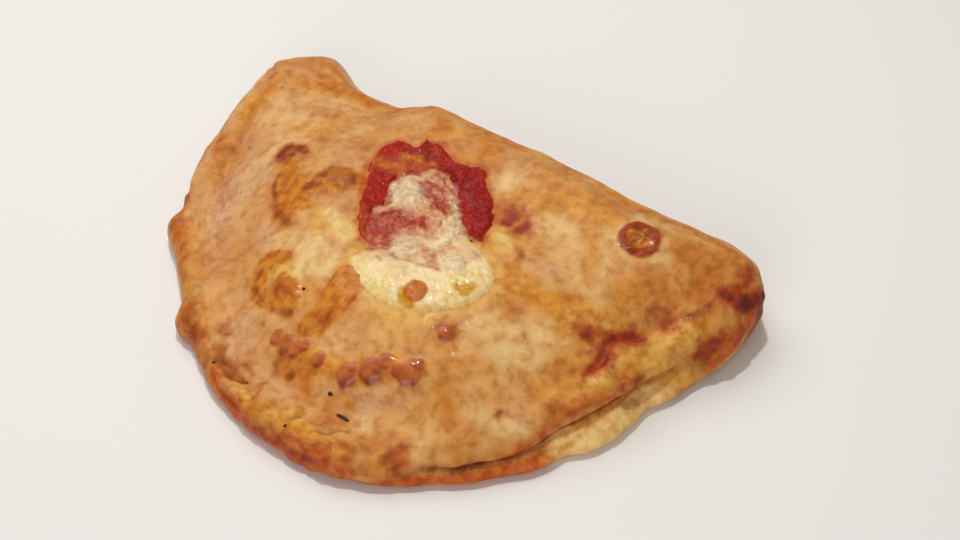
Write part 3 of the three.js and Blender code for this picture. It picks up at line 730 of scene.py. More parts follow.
def reachOf(form, around):
    # how far a topping reaches from its middle in each of so many directions
    points = np.array(form["outline"], float)
    steps = 20  # from one point of the outline to the next
    t = np.arange(len(points) * steps) / steps
    k = t.astype(int)
    corners = [points[(k + m) % len(points)] for m in (-1, 0, 1, 2)]
    away = throughPoints(*corners, (t - k)[:, None]) - np.array(form["middle"])
    turn = np.arctan2(away[:, 1], away[:, 0])
    return np.interp(allRound(around), turn, np.linalg.norm(away, axis=1), period=2 * np.pi)


def outsideTopping(xy, form):
    # how many mm a place lies outside a topping's edge, less than 0 under it
    away = xy[:, :2] - np.array(form["middle"])
    turn = np.arctan2(away[:, 1], away[:, 0])
    around = 360
    reach = np.interp(turn, allRound(around), reachOf(form, around), period=2 * np.pi)
    return np.linalg.norm(away, axis=1) - reach


crustLooks = {
    "uneven": (5, 0.8),  # size and distance in mm by which all that is painted wanders
    "swells": [(18, 0.5), (7, 0.25), (3, 0.1)],  # size and height in mm of the unevenness of the dough
    "rimLumps": (11, 0.7),
    "tears": {"from": (0.86, 0.95), "size": 9, "height": 0.8},  # from this share of the way to the shoulder
    "folded": 1.2,  # how much the creases and ridges below stand out
    "filling": 1.5,  # height in mm of the dough in the groove over the lip, at the front right
    "fried": {"thick": 0.6, "size": 3.2, "uneven": 0.3},  # a skin of cheese
    "oil": 0.1,  # thickness of its film
    "soaked": 0.3,  # how far a stain of sauce sinks in, in mm
    "scabs": {"thick": 0.5, "size": 3, "uneven": 0.9},  # what leaked out at the tip, and what burnt
    # bearings round the edge where a part of it begins, is full, fades and ends
    "sectors": {
        "torn": (-130, -116, -72, -58),
        "filled": (-42, -26, 2, 12),
        "groove": (-60, -44, 2, 12),
        "lip": (-27, -20, 2, 10),
        "underRim": (-66, -56, -27, -20),
        "noRim": (-58, -48, 148, 165),
        "front": (-150, -130, -20, 20),
        "back": (40, 60, 150, 165),
    },
    "rings": [  # mask, mask of the ring round it, how much wider in mm, strength
        ("fried", "golden", 1.8, 0.8), ("toasted", "browned", 1.8, 0.75), ("wine", "leak", 1.4, 0.7),
        ("wine", "toasted", 3, 0.62), ("char", "wine", 2, 0.9), ("leak", "browned", 2, 0.75),
    ],
    # uneven baking: mask, size in mm, which noise, mean, and how much more on the right
    "bake": [("pale", 20, 51, 0.3, -0.2), ("blush", 18, 54, 0.36, -0.3), ("golden", 16, 52, 0.24, 0.22),
        ("browned", 14, 53, 0.2, 0.12)],
    "bakeSwing": 0.32,  # up and down from the mean
    # part of the edge, mask, strength, mean, up and down from it, size in mm, which noise
    "edgeBakeAndShade": [
        ("foot", "toasted", 0.62, 1, 0.5, 8, 41), ("rim", "browned", 0.8, 0.9, 0.4, 12, 42),
        # crest: browning, and painted shade where the fold turns away
        ("lowRim", "leak", 0.45, 0.9, 0.5, 10, 48), ("crest", "browned", 0.5, 0.9, 0.6, 14, 43),
        ("backSide", "golden", 0.5, 0.9, 0.6, 18, 44),
    ],
    # underRim: colour under the rolled rim; the creases between the torn lumps get brown as painted shade
    "evenBakeAndShade": {"underRim": {"leak": 0.75}, "crease": {"browned": 0.8, "toasted": 0.45}},
    "freckles": {"size": 4.5, "over": (1.05, 1.4), "strength": 0.5},
    "halos": {"leak": (2, 0.6), "film": (5, 0.66)},  # round the sauce and the cheese: width in mm, strength
    # mask: strength, softness in mm, then x, y, z and radius of the brush
    "strokes": {
        "pale": [
            (1, 8, [(46.5, -15.1, 34, 5.9), (55.8, -9.8, 32, 6.3), (66.3, -6.2, 29, 7.1),
                (67, -2.1, 30, 5.1)]),
            (1, 8, [(57.8, -18.8, 30, 5.9), (69, -11.4, 27, 5.1)]),
            (0.8, 6.4, [(78.6, 14.1, 28, 4), (73.7, 21.3, 32, 4), (69.6, 24.9, 34, 3.2)]),
            (0.8, 8, [(58.9, -35.6, 22, 5.5), (66.1, -41.4, 17, 5.5), (69.1, -46.8, 13, 4)]),
            (0.5, 8, [(42.9, -46.4, 22, 4.8), (46.9, -53.1, 17, 4.8)]),
            (1, 4.8, [(73.8, 39.6, 36, 3.6), (68.7, 43.4, 39, 3.6), (66.5, 52.1, 41, 2.8),
                (68.8, 62.6, 38, 2.4), (78.5, 59.3, 39, 3.2), (83.8, 52.3, 37, 3.6),
                (82.3, 44.7, 35, 3.2)]),
            (0.9, 6.4, [(43.4, 46.8, 42, 4.4), (52.5, 51.8, 42, 3.6)]),
            (0.9, 8, [(53.6, 30.4, 38, 4.8), (62.7, 23.4, 36, 3.6)]),
            (0.6, 6.4, [(57.6, 6.5, 35, 3.6)]),
            (0.7, 8, [(75.2, 59.1, 39, 4), (88.6, 58.5, 37, 4)]),
            (1, 4.8, [(-27.2, -16.5, 35, 6.3), (-27.9, -24.7, 32, 7.1), (-15.2, -22.7, 36, 6.3)]),
            (0.9, 3.2, [(15.7, 45.8, 42, 4), (19, 43, 42, 4)]),
            (0.7, 6.4, [(39.2, 39.9, 41, 6.3), (50.2, 33.5, 39, 7.1), (52.8, 23.1, 38, 5.5)]),
            (0.7, 4.8, [(61.3, 45.1, 40, 4), (66.2, 36.6, 38, 3.6), (70.7, 28.4, 34, 4)]),
            (0.8, 4, [(65.9, 60, 39, 2.4), (77.5, 58.2, 39, 2.4), (82.6, 52.2, 37, 2.4),
                (79.5, 44.2, 36, 2.4), (71.2, 39.5, 37, 2.4), (64.7, 43.4, 39, 2.4),
                (63.1, 51.8, 41, 2.4)]),
            (0.8, 4.8, [(-34.4, 58.4, 39, 3.6), (-40.5, 53.4, 36, 4), (-50.1, 46.5, 33, 4.8),
                (-54.1, 38.8, 33, 4.8)]),
            (0.7, 6.4, [(-85.5, 36.5, 27, 6.3), (-68.7, 38.2, 32, 4.8), (-82.5, 10.5, 21, 5.5)]),
            (0.8, 4.8, [(70.9, -37.4, 17, 4.8), (78.1, -34.2, 15, 3.6)]),
            (0.7, 4.8, [(30, -63.4, 14, 5.5), (26.4, -68.6, 14, 3.2)]),
            (0.6, 6.4, [(51.7, -52.6, 17, 6.3), (52.3, -59.3, 14, 4.8)]),
            (0.7, 4.8, [(20.1, -77, 13, 4), (14, -78.5, 13, 3.2)]),
            (0.6, 6.4, [(61.1, -5, 31, 6.3), (72.2, -2.1, 28, 4.8), (56.3, -16.7, 31, 4.8)]),
            (0.6, 4.8, [(44, -19.5, 33, 3.6), (49, -24.7, 30, 3.6)]),
            (0.7, 3.2, [(68, 20, 34, 2.8), (71.1, 20, 32, 2.8)]),
            (0.5, 6.4, [(-6.3, -67.5, 14, 3.6), (-10.8, -69.2, 14, 3.6)]),
            (0.6, 4.8, [(-6.6, 53.1, 44, 3.2), (-6.6, 47.8, 42, 2.4)]),
        ],
        "blush": [
            (0.8, 1.6, [(-31.7, -69.2, 13, 1.6), (-26.1, -70.3, 12, 2), (-20.3, -71.4, 13, 1.6)]),
            (0.95, 8, [(-91.3, 20.8, 19, 5.5), (-88.7, 8.7, 16, 6.3), (-81.3, -6.2, 15, 6.7),
                (-72.7, -19.9, 15, 5.9), (-62.7, -30.4, 14, 5.5)]),
            (0.9, 6.4, [(-40.5, -42.4, 17, 7.1), (-35.2, -53.7, 14, 5.5), (-26.6, -57, 14, 4.8)]),
            (0.7, 6.4, [(-51.6, -18.8, 26, 3.6), (-43.3, -24, 27, 3.2)]),
            (0.8, 6.4, [(14, -61.1, 17, 4.8), (22.3, -59, 18, 5.5), (30.9, -53.9, 20, 5.5),
                (39, -50.7, 20, 4.8)]),
            (0.8, 8, [(-88.5, 3.5, 15, 6.3), (-79.2, -11.1, 15, 6.3), (-69.1, -26.5, 14, 5.1),
                (-62.2, -35.8, 14, 4.4)]),
            (0.7, 8, [(-43.8, -39, 18, 7.1), (-33.2, -48.9, 16, 6.3), (-41.2, -46.4, 15, 4.8)]),
            (0.5, 6.4, [(-90.1, 20.7, 20, 4.8), (-61.5, -6.7, 27, 5.5)]),
            (0.9, 4, [(-53.3, -16.1, 26, 2.4)]),
            (0.8, 4.8, [(-95.8, 65.4, 28, 3.6), (-100.8, 65, 28, 3.2)]),
            (0.6, 6.4, [(37.5, -50.9, 21, 7.1), (28.1, -56.1, 19, 5.5), (18.2, -57.7, 19, 4.8)]),
            (0.7, 4.8, [(52.3, 19.3, 37, 4.4), (57.4, 19.6, 37, 3.6), (47, 18.7, 38, 2.8)]),
            (0.6, 6.4, [(74.1, -29.8, 19, 5.5)]),
            (0.5, 6.4, [(9.5, -39.9, 31, 5.5), (3.5, -47, 27, 3.6)]),
            (1, 1.6, [(-33, -68.8, 13, 2.2), (-26.3, -69.9, 12, 2.8), (-19.4, -71.4, 13, 2)]),
            (0.7, 4, [(-102, 27.1, 18, 3.6), (-95.4, 25.7, 19, 2.8)]),
        ],
        "golden": [
            (1, 4.8, [(39.9, 9.8, 38, 3.2), (45.3, 9.1, 38, 3.6), (50.2, 10.8, 37, 3.6)]),
            (0.9, 4.8, [(69.9, 8.9, 31, 3.6), (73.4, 15.3, 31, 3.6), (81.1, 20.1, 28, 3.2)]),
            (0.9, 4.8, [(23.1, 38.5, 41, 3.6), (31, 29.7, 39, 3.6), (37.8, 22.4, 38, 3.2)]),
            (0.8, 4.8, [(27.3, 50.7, 44, 4), (34.4, 45.7, 42, 3.6)]),
            (0.9, 3.2, [(50.4, 65, 39, 2.8), (59.1, 65.3, 38, 2.8), (66.5, 67.8, 36, 2.8)]),
            (0.9, 4.8, [(-85.1, 65, 28, 3.6), (-72.5, 62, 29, 3.6), (-61.4, 60.8, 29, 3.2)]),
            (1, 2.2, [(-17.2, -53, 20, 4), (-9.2, -54.7, 20, 4.8), (-1.8, -54.6, 22, 4.8),
                (6.3, -55.4, 23, 5.1), (15.9, -54.4, 24, 5.5), (24.4, -49.6, 27, 5.9),
                (30.7, -44.6, 27, 5.5), (37.1, -41.4, 28, 4.8)]),
            (0.9, 3.2, [(-102.3, 53.9, 28, 2), (-102.5, 42.4, 25, 2.4), (-103.3, 28.9, 19, 2),
                (-104.2, 18.1, 15, 2)]),
            (0.8, 3.2, [(-88.7, -19.3, 13, 2), (-79.4, -32.2, 13, 2.4), (-70, -43.3, 11, 2.4),
                (-60.2, -50.8, 12, 2)]),
            (1, 3.2, [(-14.5, -77.5, 11, 3.2), (-4, -77.6, 13, 3.6), (8.5, -77.2, 13, 3.6),
                (21.1, -77.2, 13, 3.6), (32.9, -76.4, 12, 3.6)]),
            (0.9, 4, [(-104.8, 45.3, 26, 2.4), (-105, 38.3, 23, 3.2), (-105.6, 31.7, 20, 2.8)]),
            (0.6, 6.4, [(-62.8, 46.6, 31, 5.5), (-64.3, 32.8, 32, 5.5), (-74.6, 32.9, 31, 4.8)]),
            (0.9, 4.8, [(-18.8, 53.6, 43, 4.8), (-11.1, 54.1, 44, 3.2), (-22.3, 49.9, 42, 3.2)]),
            (0.9, 4, [(-2.2, 46.9, 42, 2.4), (2.4, 53.5, 44, 4), (7.2, 49.4, 43, 3.2)]),
            (0.8, 4.8, [(23.5, 39.8, 41, 4), (26.5, 45.3, 42, 4), (27.6, 38.4, 41, 2.4)]),
            (0.8, 3.2, [(11.4, 37.6, 40, 1), (8.7, 43.4, 41, 1.2), (4.8, 46.3, 42, 1.2)]),
            (1, 3.2, [(42.1, 5.5, 38, 3.6), (48, 5.1, 37, 4.8), (54.8, 6.7, 35, 5.5), (62.5, 9.5, 34, 5.5),
                (67.9, 8, 31, 4.4), (69.7, 2.9, 30, 3.6)]),
            (1, 4.8, [(62.7, 9.2, 33, 4.8), (67, 15.1, 33, 3.6), (73, 15.8, 31, 3.6)]),
            (0.9, 6.4, [(37.5, 48.9, 43, 5.5), (48.6, 49, 42, 5.5), (33.5, 41.7, 41, 4),
                (59.1, 49.8, 41, 4.8)]),
            (0.8, 4.8, [(-94.7, 57.4, 28, 4.8), (-84.5, 57.8, 28, 3.6)]),
            (0.8, 4.8, [(-73.9, -33.3, 14, 3.2), (-82.4, -25.3, 14, 2.8), (-67, -40.6, 13, 2.8)]),
            (0.9, 4.8, [(-33.9, -4.9, 37, 3.6), (-31.5, -9.2, 36, 2.8)]),
            (0.8, 4.8, [(77.3, 3.2, 26, 4), (80.2, -2.4, 24, 3.6)]),
            (0.9, 4, [(85.5, -8.9, 21, 4.4), (88.8, -2.4, 21, 4), (89, 6.4, 22, 3.6), (93.2, 18.5, 21, 4.4),
                (100.1, 26.7, 20, 4.8), (104.6, 34.3, 22, 4.8), (107.6, 41.6, 24, 3.6)]),
            (0.9, 4, [(100.9, 16.7, 18, 4.8), (92, 15.1, 21, 3.6), (93.2, -5, 19, 3.6)]),
            (0.9, 3.2, [(3.4, -74.3, 13, 2.8), (8.4, -71.4, 13, 2.8)]),
            (0.8, 3.2, [(8.2, -65.5, 15, 2.8), (11.7, -65.3, 15, 2)]),
            (0.8, 3.2, [(23.7, -61, 17, 2), (21, -61, 17, 1.6)]),
            (0.6, 4.8, [(-77.4, -29.2, 14, 2.4), (-80.2, -28.9, 13, 1.6), (-86.7, -15.6, 14, 2),
                (-81.8, -23, 14, 2)]),
            (0.6, 4.8, [(28.1, -70.7, 14, 3.6), (35.5, -70.7, 13, 3.6), (21.7, -71.2, 13, 2.4)]),
            (0.6, 6.4, [(31.9, -34.2, 31, 5.5), (40.7, -31.4, 30, 4.8), (48.5, -30.1, 29, 3.6)]),
            (0.7, 4.8, [(93.1, -13.2, 9, 3.6), (96.9, -12.4, 7, 2.4)]),
            (0.7, 4.8, [(54.8, 44.4, 41, 2.4), (59.5, 37.3, 39, 2.8), (62.9, 31, 37, 2.8),
                (65, 24.5, 35, 3.2)]),
            (0.6, 8, [(49.9, -7.6, 34, 3.6), (51.7, -13.3, 33, 3.6)]),
        ],
        "film": [
            (0.8, 3.2, [(-0.5, -78.7, 12, 3.2), (4, -75, 13, 2.8), (9.6, -72.9, 13, 2.4)]),
            (0.6, 3.2, [(12.8, -81.7, 11, 2.8), (18.1, -80.3, 12, 2.8)]),
            (0.7, 3.2, [(-17.6, -75.9, 12, 3.2), (-10.7, -76.3, 12, 2.8)]),
            (0.7, 4.8, [(70.3, 8.3, 30, 3.6), (78.1, 13.6, 28, 3.6), (84.7, 18.1, 25, 2.8)]),
            (0.9, 3.2, [(104.7, 20.7, 7, 2.4), (107.9, 28.1, 7, 2.4), (110.5, 33.5, 8, 2)]),
            (0.9, 3.2, [(89, -5.2, 21, 3.2), (89.1, 1, 21, 3.2), (89.2, 8.8, 22, 3.2),
                (93.4, 18.2, 21, 3.6), (100.4, 26.1, 20, 3.6), (104.9, 33.8, 21, 3.2)]),
            (0.8, 3.2, [(99.7, 15.2, 18, 4), (104, 23.5, 16, 3.2)]),
            (0.5, 2.6, [(-42.8, -3.1, 35, 3.2), (-35.6, -4, 37, 3.6)]),
            (0.8, 2.6, [(-29.7, -4.2, 37, 3.6), (-21.5, -5.7, 38, 4), (-14.2, -10.8, 38, 3.6)]),
            (0.9, 3.2, [(-30.9, -10, 36, 3.2), (-22.2, -10.7, 37, 2.8)]),
            (0.9, 3.2, [(-10, -20.4, 37, 1.6), (-6.6, -21.8, 37, 1.6)]),
            (0.9, 4, [(8.3, -31.7, 34, 2.4), (16.2, -30.9, 34, 3.6), (25.4, -27.1, 35, 4),
                (32.9, -23, 35, 3.2)]),
            (0.7, 4.8, [(17.2, -35.3, 32, 3.6), (24.3, -32.9, 33, 3.6)]),
            (1, 1.9, [(28.2, 23.4, 38, 3.6), (32.6, 18.4, 38, 4)]),
            (1, 2.2, [(-34.7, -30.2, 27, 3.6), (-32.9, -28.2, 29, 3.2), (-26.7, -31, 30, 2)]),
            (0.9, 2.6, [(-22.2, -41.6, 26, 3.6), (-16.6, -39, 29, 3.2)]),
        ],
        "browned": [
            (0.9, 4.8, [(-104.5, 48.8, 27, 3.2), (-106, 54.7, 28, 2.8)]),
            (0.8, 4, [(-88, -23.6, 13, 3.2), (-79.8, -34.3, 12, 3.2), (-71.2, -43.2, 10, 3.2)]),
            (1, 2.6, [(-90.7, 72, 28, 2), (-82.7, 69.8, 27, 2.4), (-75.6, 67.2, 27, 2.4),
                (-66.5, 64.8, 29, 2), (-58.5, 65, 29, 1.6)]),
            (0.9, 4, [(-106.9, 62.1, 28, 2.4), (-102.2, 65.5, 28, 2.8), (-95.9, 66.8, 28, 2.8),
                (-89.4, 65.2, 28, 2.8)]),
            (0.7, 3.2, [(-10.6, -53, 21, 3.6), (-5.2, -53.8, 21, 3.2), (6.4, -55.7, 23, 2.4),
                (17.1, -55.9, 23, 3.6), (25.4, -51, 25, 4), (31.9, -45.6, 26, 3.6),
                (37.8, -42.9, 26, 3.2)]),
            (0.9, 4.8, [(-85.2, 61.9, 28, 4), (-75.4, 62.4, 29, 4), (-67.8, 63.8, 29, 3.2),
                (-59.6, 65, 29, 2)]),
            (0.6, 6.4, [(-74.3, 43.8, 31, 3.2), (-69.1, 48.1, 31, 3.2)]),
            (0.7, 4.8, [(-61.8, 30.9, 33, 2.4), (-58.5, 31.8, 34, 1.6)]),
            (0.7, 4, [(-45.8, 32.2, 36, 2)]),
            (0.8, 3.2, [(-99.4, 51.5, 27, 2.4)]),
            (0.7, 4.8, [(-111.3, 59.4, 25, 2.4), (-111.3, 54.2, 24, 2.4)]),
            (0.9, 4, [(-106.3, 23.3, 16, 2.4), (-104.8, 18.9, 15, 2.8), (-99.2, 21.1, 16, 2.4)]),
            (0.7, 4.8, [(-101.2, 10.3, 14, 2), (-99.6, 1.1, 13, 2)]),
            (1, 2.6, [(-101.3, -6.5, 10, 2.8), (-96.7, -14.5, 12, 2.4), (-93.7, -22.6, 11, 3.2),
                (-87.1, -27.8, 11, 2.8), (-82.2, -34.1, 10, 3.2), (-71.8, -43.1, 10, 2)]),
            (1, 2.9, [(-58.4, -55.2, 12, 4), (-56.6, -59.9, 9, 4), (-51.2, -62, 7, 4),
                (-43.7, -62.6, 12, 2.4)]),
            (1, 2.9, [(-35, -72.2, 8, 2.8), (-27.7, -75.7, 7, 3.2), (-18.6, -78.5, 8, 4),
                (-9, -79.7, 10, 4.4), (-0.1, -79.2, 11, 4)]),
            (0.9, 3.2, [(-2.4, -74, 13, 2), (1.9, -75.9, 13, 1.6), (6.6, -78.2, 13, 1.6)]),
            (0.9, 4, [(16.3, -81.5, 11, 2.8), (23, -79.8, 11, 4), (28, -74.6, 13, 3.2),
                (34.7, -75.4, 13, 3.2), (32.1, -78.9, 10, 3.2)]),
            (0.8, 4.8, [(38.1, -68.3, 13, 4.8), (41.2, -63.2, 14, 3.2)]),
            (0.9, 4, [(47.6, -64.6, 14, 4), (46.1, -69.7, 12, 4.4), (50.8, -68, 11, 3.6),
                (41.8, -75.7, 10, 3.6)]),
            (0.7, 4.8, [(56.9, -59.8, 13, 3.2), (60.2, -54.8, 14, 2.4), (65.5, -53.9, 11, 3.2),
                (70.3, -48.7, 11, 3.2)]),
            (0.6, 6.4, [(65.1, -47.2, 15, 4.8), (68.1, -42.5, 16, 3.2)]),
            (1, 6.4, [(-8.5, -58.8, 17, 4.8), (1.1, -59.1, 18, 5.1), (4.8, -64.6, 15, 4)]),
            (0.8, 4.8, [(17.9, -68.6, 13, 4.8), (23.9, -67.1, 14, 3.2)]),
            (1, 3.2, [(-15.1, -79.9, 4, 2.4), (-6.8, -81.7, 6, 2.4)]),
            (0.7, 4.8, [(15.9, -63.6, 15, 3.2), (15.7, -68.1, 13, 2.8), (21.4, -68, 13, 2)]),
            (0.8, 4.8, [(43.1, -34.6, 28, 2.4), (47, -39.5, 25, 2.8), (52, -43.4, 21, 3.6),
                (56.1, -46.7, 18, 3.2)]),
            (0.5, 6.4, [(46, -45.8, 21, 2.8), (45.3, -49.7, 19, 2.4)]),
            (0.35, 6.4, [(53.2, -33, 26, 4.8), (59.2, -26.9, 26, 4.4), (65.2, -24.4, 25, 4),
                (72.2, -20.9, 23, 3.6)]),
            (0.5, 6.4, [(57.8, -37.1, 22, 3.6), (70.7, -27.9, 21, 3.6)]),
            (0.7, 4.8, [(74.9, -12.4, 24, 4), (78.1, -9.4, 24, 4), (75.5, -7, 25, 3.2)]),
            (0.8, 4.8, [(87.7, -15.4, 18, 3.2), (93.1, -7.4, 17, 3.6), (95.6, 3.8, 10, 3.6),
                (99.3, 10.2, 8, 2.4), (91, -10.7, 18, 3.2)]),
            (0.8, 4, [(82, -25.7, 17, 2.4), (83.4, -21.5, 18, 3.6)]),
            (0.8, 4, [(50.4, -2.7, 35, 3.2), (52, -6.2, 34, 2.4)]),
            (0.8, 4, [(62.2, 13.8, 34, 2.8), (65.6, 13.9, 33, 2.4)]),
            (0.9, 4, [(72.5, 11.5, 30, 2), (75.7, 10.7, 29, 3.2)]),
            (0.7, 6.4, [(78.8, 40, 35, 4.8), (83.1, 36.9, 32, 5.9), (87.7, 34.6, 29, 5.1),
                (78.6, 32.4, 33, 3.2)]),
            (0.9, 8, [(85.4, 56.7, 37, 5.5), (94.1, 56.8, 34, 7.9), (101.1, 54.4, 30, 7.1),
                (97.6, 44.9, 28, 6.3), (100.6, 66, 33, 4.8)]),
            (0.85, 6.4, [(84.9, 40.8, 33, 6.3), (82.6, 34.3, 31, 5.5), (93.2, 39.6, 28, 5.5)]),
            (0.8, 6.4, [(52.3, 53.6, 42, 4), (63.2, 64.5, 37, 4), (78.6, 68.1, 35, 3.2),
                (91.9, 69.2, 34, 2.8), (103.7, 69.6, 32, 2.4)]),
            (0.8, 6.4, [(103.8, 65.8, 32, 4), (108.6, 65.3, 30, 3.6), (106.1, 57.6, 28, 3.6)]),
            (0.7, 4.8, [(93.3, 31.6, 24, 4), (99.1, 39.4, 25, 3.6), (86.6, 28.4, 27, 3.2)]),
            (0.4, 4.8, [(107.2, 33.2, 18, 2.8), (106.8, 31.7, 14, 2.4), (104.2, 26.8, 10, 2),
                (100.3, 18.6, 9, 2.4)]),
            (0.5, 8, [(51.1, 62.4, 40, 4), (59.5, 64.7, 38, 3.2), (42.9, 61.1, 42, 3.2),
                (69.7, 64.7, 37, 2)]),
            (0.6, 4.8, [(10.2, 65.2, 41, 2.8), (6.2, 61.5, 42, 2.4), (19, 63.1, 41, 2.4),
                (27.6, 61.1, 42, 2.4)]),
            (0.8, 4, [(-1.5, 59.1, 43, 2.4), (-0.7, 54.1, 44, 2)]),
            (0.6, 4.8, [(23.6, 50.8, 44, 2.8), (39.9, 52, 43, 3.2), (37.1, 44.2, 42, 3.2)]),
            (0.7, 4, [(21.8, 32.6, 39, 2.8), (24.1, 27.3, 39, 2), (30.4, 33.1, 40, 2.4),
                (38.4, 28, 39, 1.6)]),
            (0.8, 3.2, [(37.5, 20.4, 38, 1.2), (42.1, 15, 38, 1.6), (39.9, 9.8, 38, 2),
                (41.8, 5.3, 38, 2)]),
            (0.6, 4.8, [(-28.8, 57.5, 42, 2.4), (-35.6, 56.7, 39, 1.6)]),
        ],
        # a creamy film of cheese; the thin streak below it is a painted highlight, a glint line in pale cream
        "creamAndGlint": [
            (0.62, 3.8, [(-30.4, -4.5, 37, 2.8), (-23.7, -7, 38, 3.2), (-16.7, -11.1, 38, 3.2)]),
            # painted highlight: a thin glint line in pale cream
            (0.9, 1.3, [(-32.4, -2.1, 37, 0.6), (-28, -4.6, 38, 0.8), (-23.1, -7.8, 38, 0.6)]),
            (0.7, 2.2, [(-27.1, -28.1, 31, 1.6), (-23.4, -31.6, 31, 2), (-20.5, -36.4, 29, 1.6)]),
            (0.6, 3.2, [(30.3, 21.7, 38, 2.4), (34.7, 17.3, 38, 2.4)]),
            (0.6, 2.2, [(-7.6, -19.3, 37, 1.6), (-2.7, -23.2, 37, 1.6), (3.2, -27.3, 36, 1.6),
                (8.8, -28.9, 35, 1.6)]),
        ],
        "fried": [
            (1, 1, [(-63.9, 12.9, 31, 3.6), (-59.6, 6.5, 32, 4.4), (-53.8, -1.2, 32, 5.1),
                (-49.3, -6.7, 32, 5.1), (-44.8, -11, 32, 2.8)]),
            (1, 1.1, [(-53.8, 7.5, 34, 2.4), (-48.5, 2.2, 35, 3.6), (-42.7, -2.5, 35, 3.6)]),
            (1, 1.1, [(-43.7, 3.6, 36, 3.6), (-42.1, 9, 37, 5.9), (-38.4, 12.9, 38, 7.1),
                (-33.3, 14.9, 38, 5.9)]),
            (1, 1, [(-34.1, -25.5, 30, 2.4), (-38.1, -26.1, 28, 3.2), (-41.1, -29.2, 25, 3.6),
                (-40.8, -33.3, 23, 4), (-37.8, -38.2, 21, 4), (-32.4, -41.8, 22, 3.6),
                (-24.5, -42.3, 25, 3.6), (-18.7, -40, 28, 3.2)]),
            (1, 1, [(-27.6, -37, 28, 5.5), (-22.9, -35.9, 29, 4)]),
            (1, 1.1, [(-3.2, -26.8, 36, 6.7), (-3.7, -31.6, 34, 6.3), (-3.6, -37.2, 31, 5.5),
                (-5.5, -42.5, 28, 5.1), (-7.4, -46.1, 26, 3.6)]),
        ],
        "leak": [
            (0.8, 3.6, [(75, -43.1, 7, 2.4), (79.2, -39.3, 9, 2.4), (82.3, -33.5, 11, 2.4),
                (84.8, -26, 14, 2.4), (87.6, -19.5, 16, 2.4), (91.2, -11.7, 17, 2), (95.2, -2.7, 15, 1.6)]),
            (0.6, 3.6, [(89.6, -27, 5, 2.4), (93.5, -21.4, 5, 2.4), (96.2, -16.6, 6, 2)]),
            (1, 2.9, [(-20.2, -78.4, 4, 2), (-11.6, -80.7, 4, 2.4), (-2, -82.3, 3, 2.4),
                (10.2, -83.6, 4, 2.4), (17.2, -83.3, 3, 2)]),
            (0.9, 2.5, [(-33, -72, 10, 2.4), (-27.4, -75.3, 9, 2.4), (-21.7, -77.9, 6, 2),
                (-14, -79.5, 9, 2.4), (-5.9, -81.3, 8, 2)]),
            (0.8, 2.5, [(11.8, -81.5, 11, 2.8), (18.4, -81.3, 11, 2), (23.7, -80.7, 11, 2.4),
                (31.1, -80.7, 8, 2.8), (37.2, -78.9, 7, 2.4)]),
            (0.8, 2.9, [(51.3, -67.4, 11, 2.4), (47.4, -65.6, 13, 2)]),
            (0.7, 2.9, [(-108.4, 23.2, 16, 2), (-106.5, 17.1, 14, 1.6)]),
            (0.6, 2.9, [(-91, -20.2, 13, 1.6), (-88.7, -24.7, 12, 2), (-80.1, -34.7, 11, 2)]),
            (1, 1.8, [(117.2, 57.9, 17, 2.4), (116.8, 52.7, 17, 3.2), (116.5, 47.7, 16, 3.2),
                (115.6, 42.7, 13, 2.4), (113.7, 38.1, 8, 2.4)]),
            (0.8, 2.5, [(87.2, 1.3, 22, 1.6), (87.7, -1.5, 22, 1.6)]),
            (0.7, 2.5, [(21, 31.1, 39, 2), (20.2, 34.9, 40, 1.6)]),
            (0.6, 3.6, [(65.1, -59.3, 4, 2), (73, -52.3, 4, 2), (79.7, -43.7, 4, 2.4),
                (86.4, -34.8, 5, 2.4), (89.6, -27, 5, 2)]),
        ],
        "wine": [
            (1, 2.3, [(84.1, -4.3, 22, 0.8), (84.9, -0.4, 23, 1.6), (86.1, 3, 22, 2.6),
                (84.9, 6.7, 23, 2.8), (84.1, 10.5, 24, 2.8), (85.4, 14.5, 24, 2.8), (87.8, 18.8, 23, 2.6),
                (91, 21.2, 22, 2.2)]),
            (0.9, 2.7, [(75, 8.5, 28, 2.8), (78, 9.2, 27, 2.8), (73, 7.6, 29, 1.6)]),
            (1, 2.3, [(113.7, 42.2, 17, 2), (111.9, 38.5, 16, 3.6), (109.7, 35.3, 14, 3.6)]),
            (1, 3, [(107.5, 52.5, 27, 2.4), (111.7, 55.8, 25, 4), (114.7, 59.7, 23, 4),
                (116.1, 63.4, 22, 3.6)]),
            (0.45, 3.8, [(109.2, 61.1, 28, 3.2), (111.3, 66.1, 28, 3.2), (108.6, 67.5, 31, 2.4)]),
            (1, 1.9, [(25.5, 35.7, 40, 1.6), (27.9, 32.2, 39, 3.2), (28.3, 29.7, 39, 2.4)]),
            (0.9, 1.9, [(34, 28.6, 39, 2.4), (34.8, 31.3, 39, 1.6)]),
            (0.5, 3, [(90.7, 32.1, 26, 2.4), (93.8, 34.8, 26, 3.2), (96.6, 35.2, 24, 2.8),
                (97, 31.4, 23, 2.8), (99.1, 30.8, 22, 2.4)]),
            (0.5, 3, [(97, 2.2, 18, 3.6), (101, 3.8, 18, 4.4), (100.6, 6.9, 19, 2.8), (97, 8.3, 9, 3.6)]),
            (0.8, 2.7, [(-0.5, -82.6, 7, 1.6), (-4.1, -82.1, 6, 1.6), (20.8, -82.9, 7, 2.4),
                (26.2, -81.8, 8, 2), (15.8, -83.4, 7, 2)]),
            (0.9, 3.8, [(-51.4, -61.7, 8, 2.4), (-47.7, -63.5, 8, 2)]),
            (0.5, 3.8, [(-28.8, -36.7, 28, 3.2), (-25.4, -37.5, 28, 2.8)]),
            (0.8, 2.3, [(38.7, -24.8, 34, 2.8)]),
        ],
        "toasted": [
            (1, 0.8, [(-69.8, 14.5, 29, 1.6), (-71.8, 17.6, 29, 2), (-71.6, 20.4, 30, 2.2),
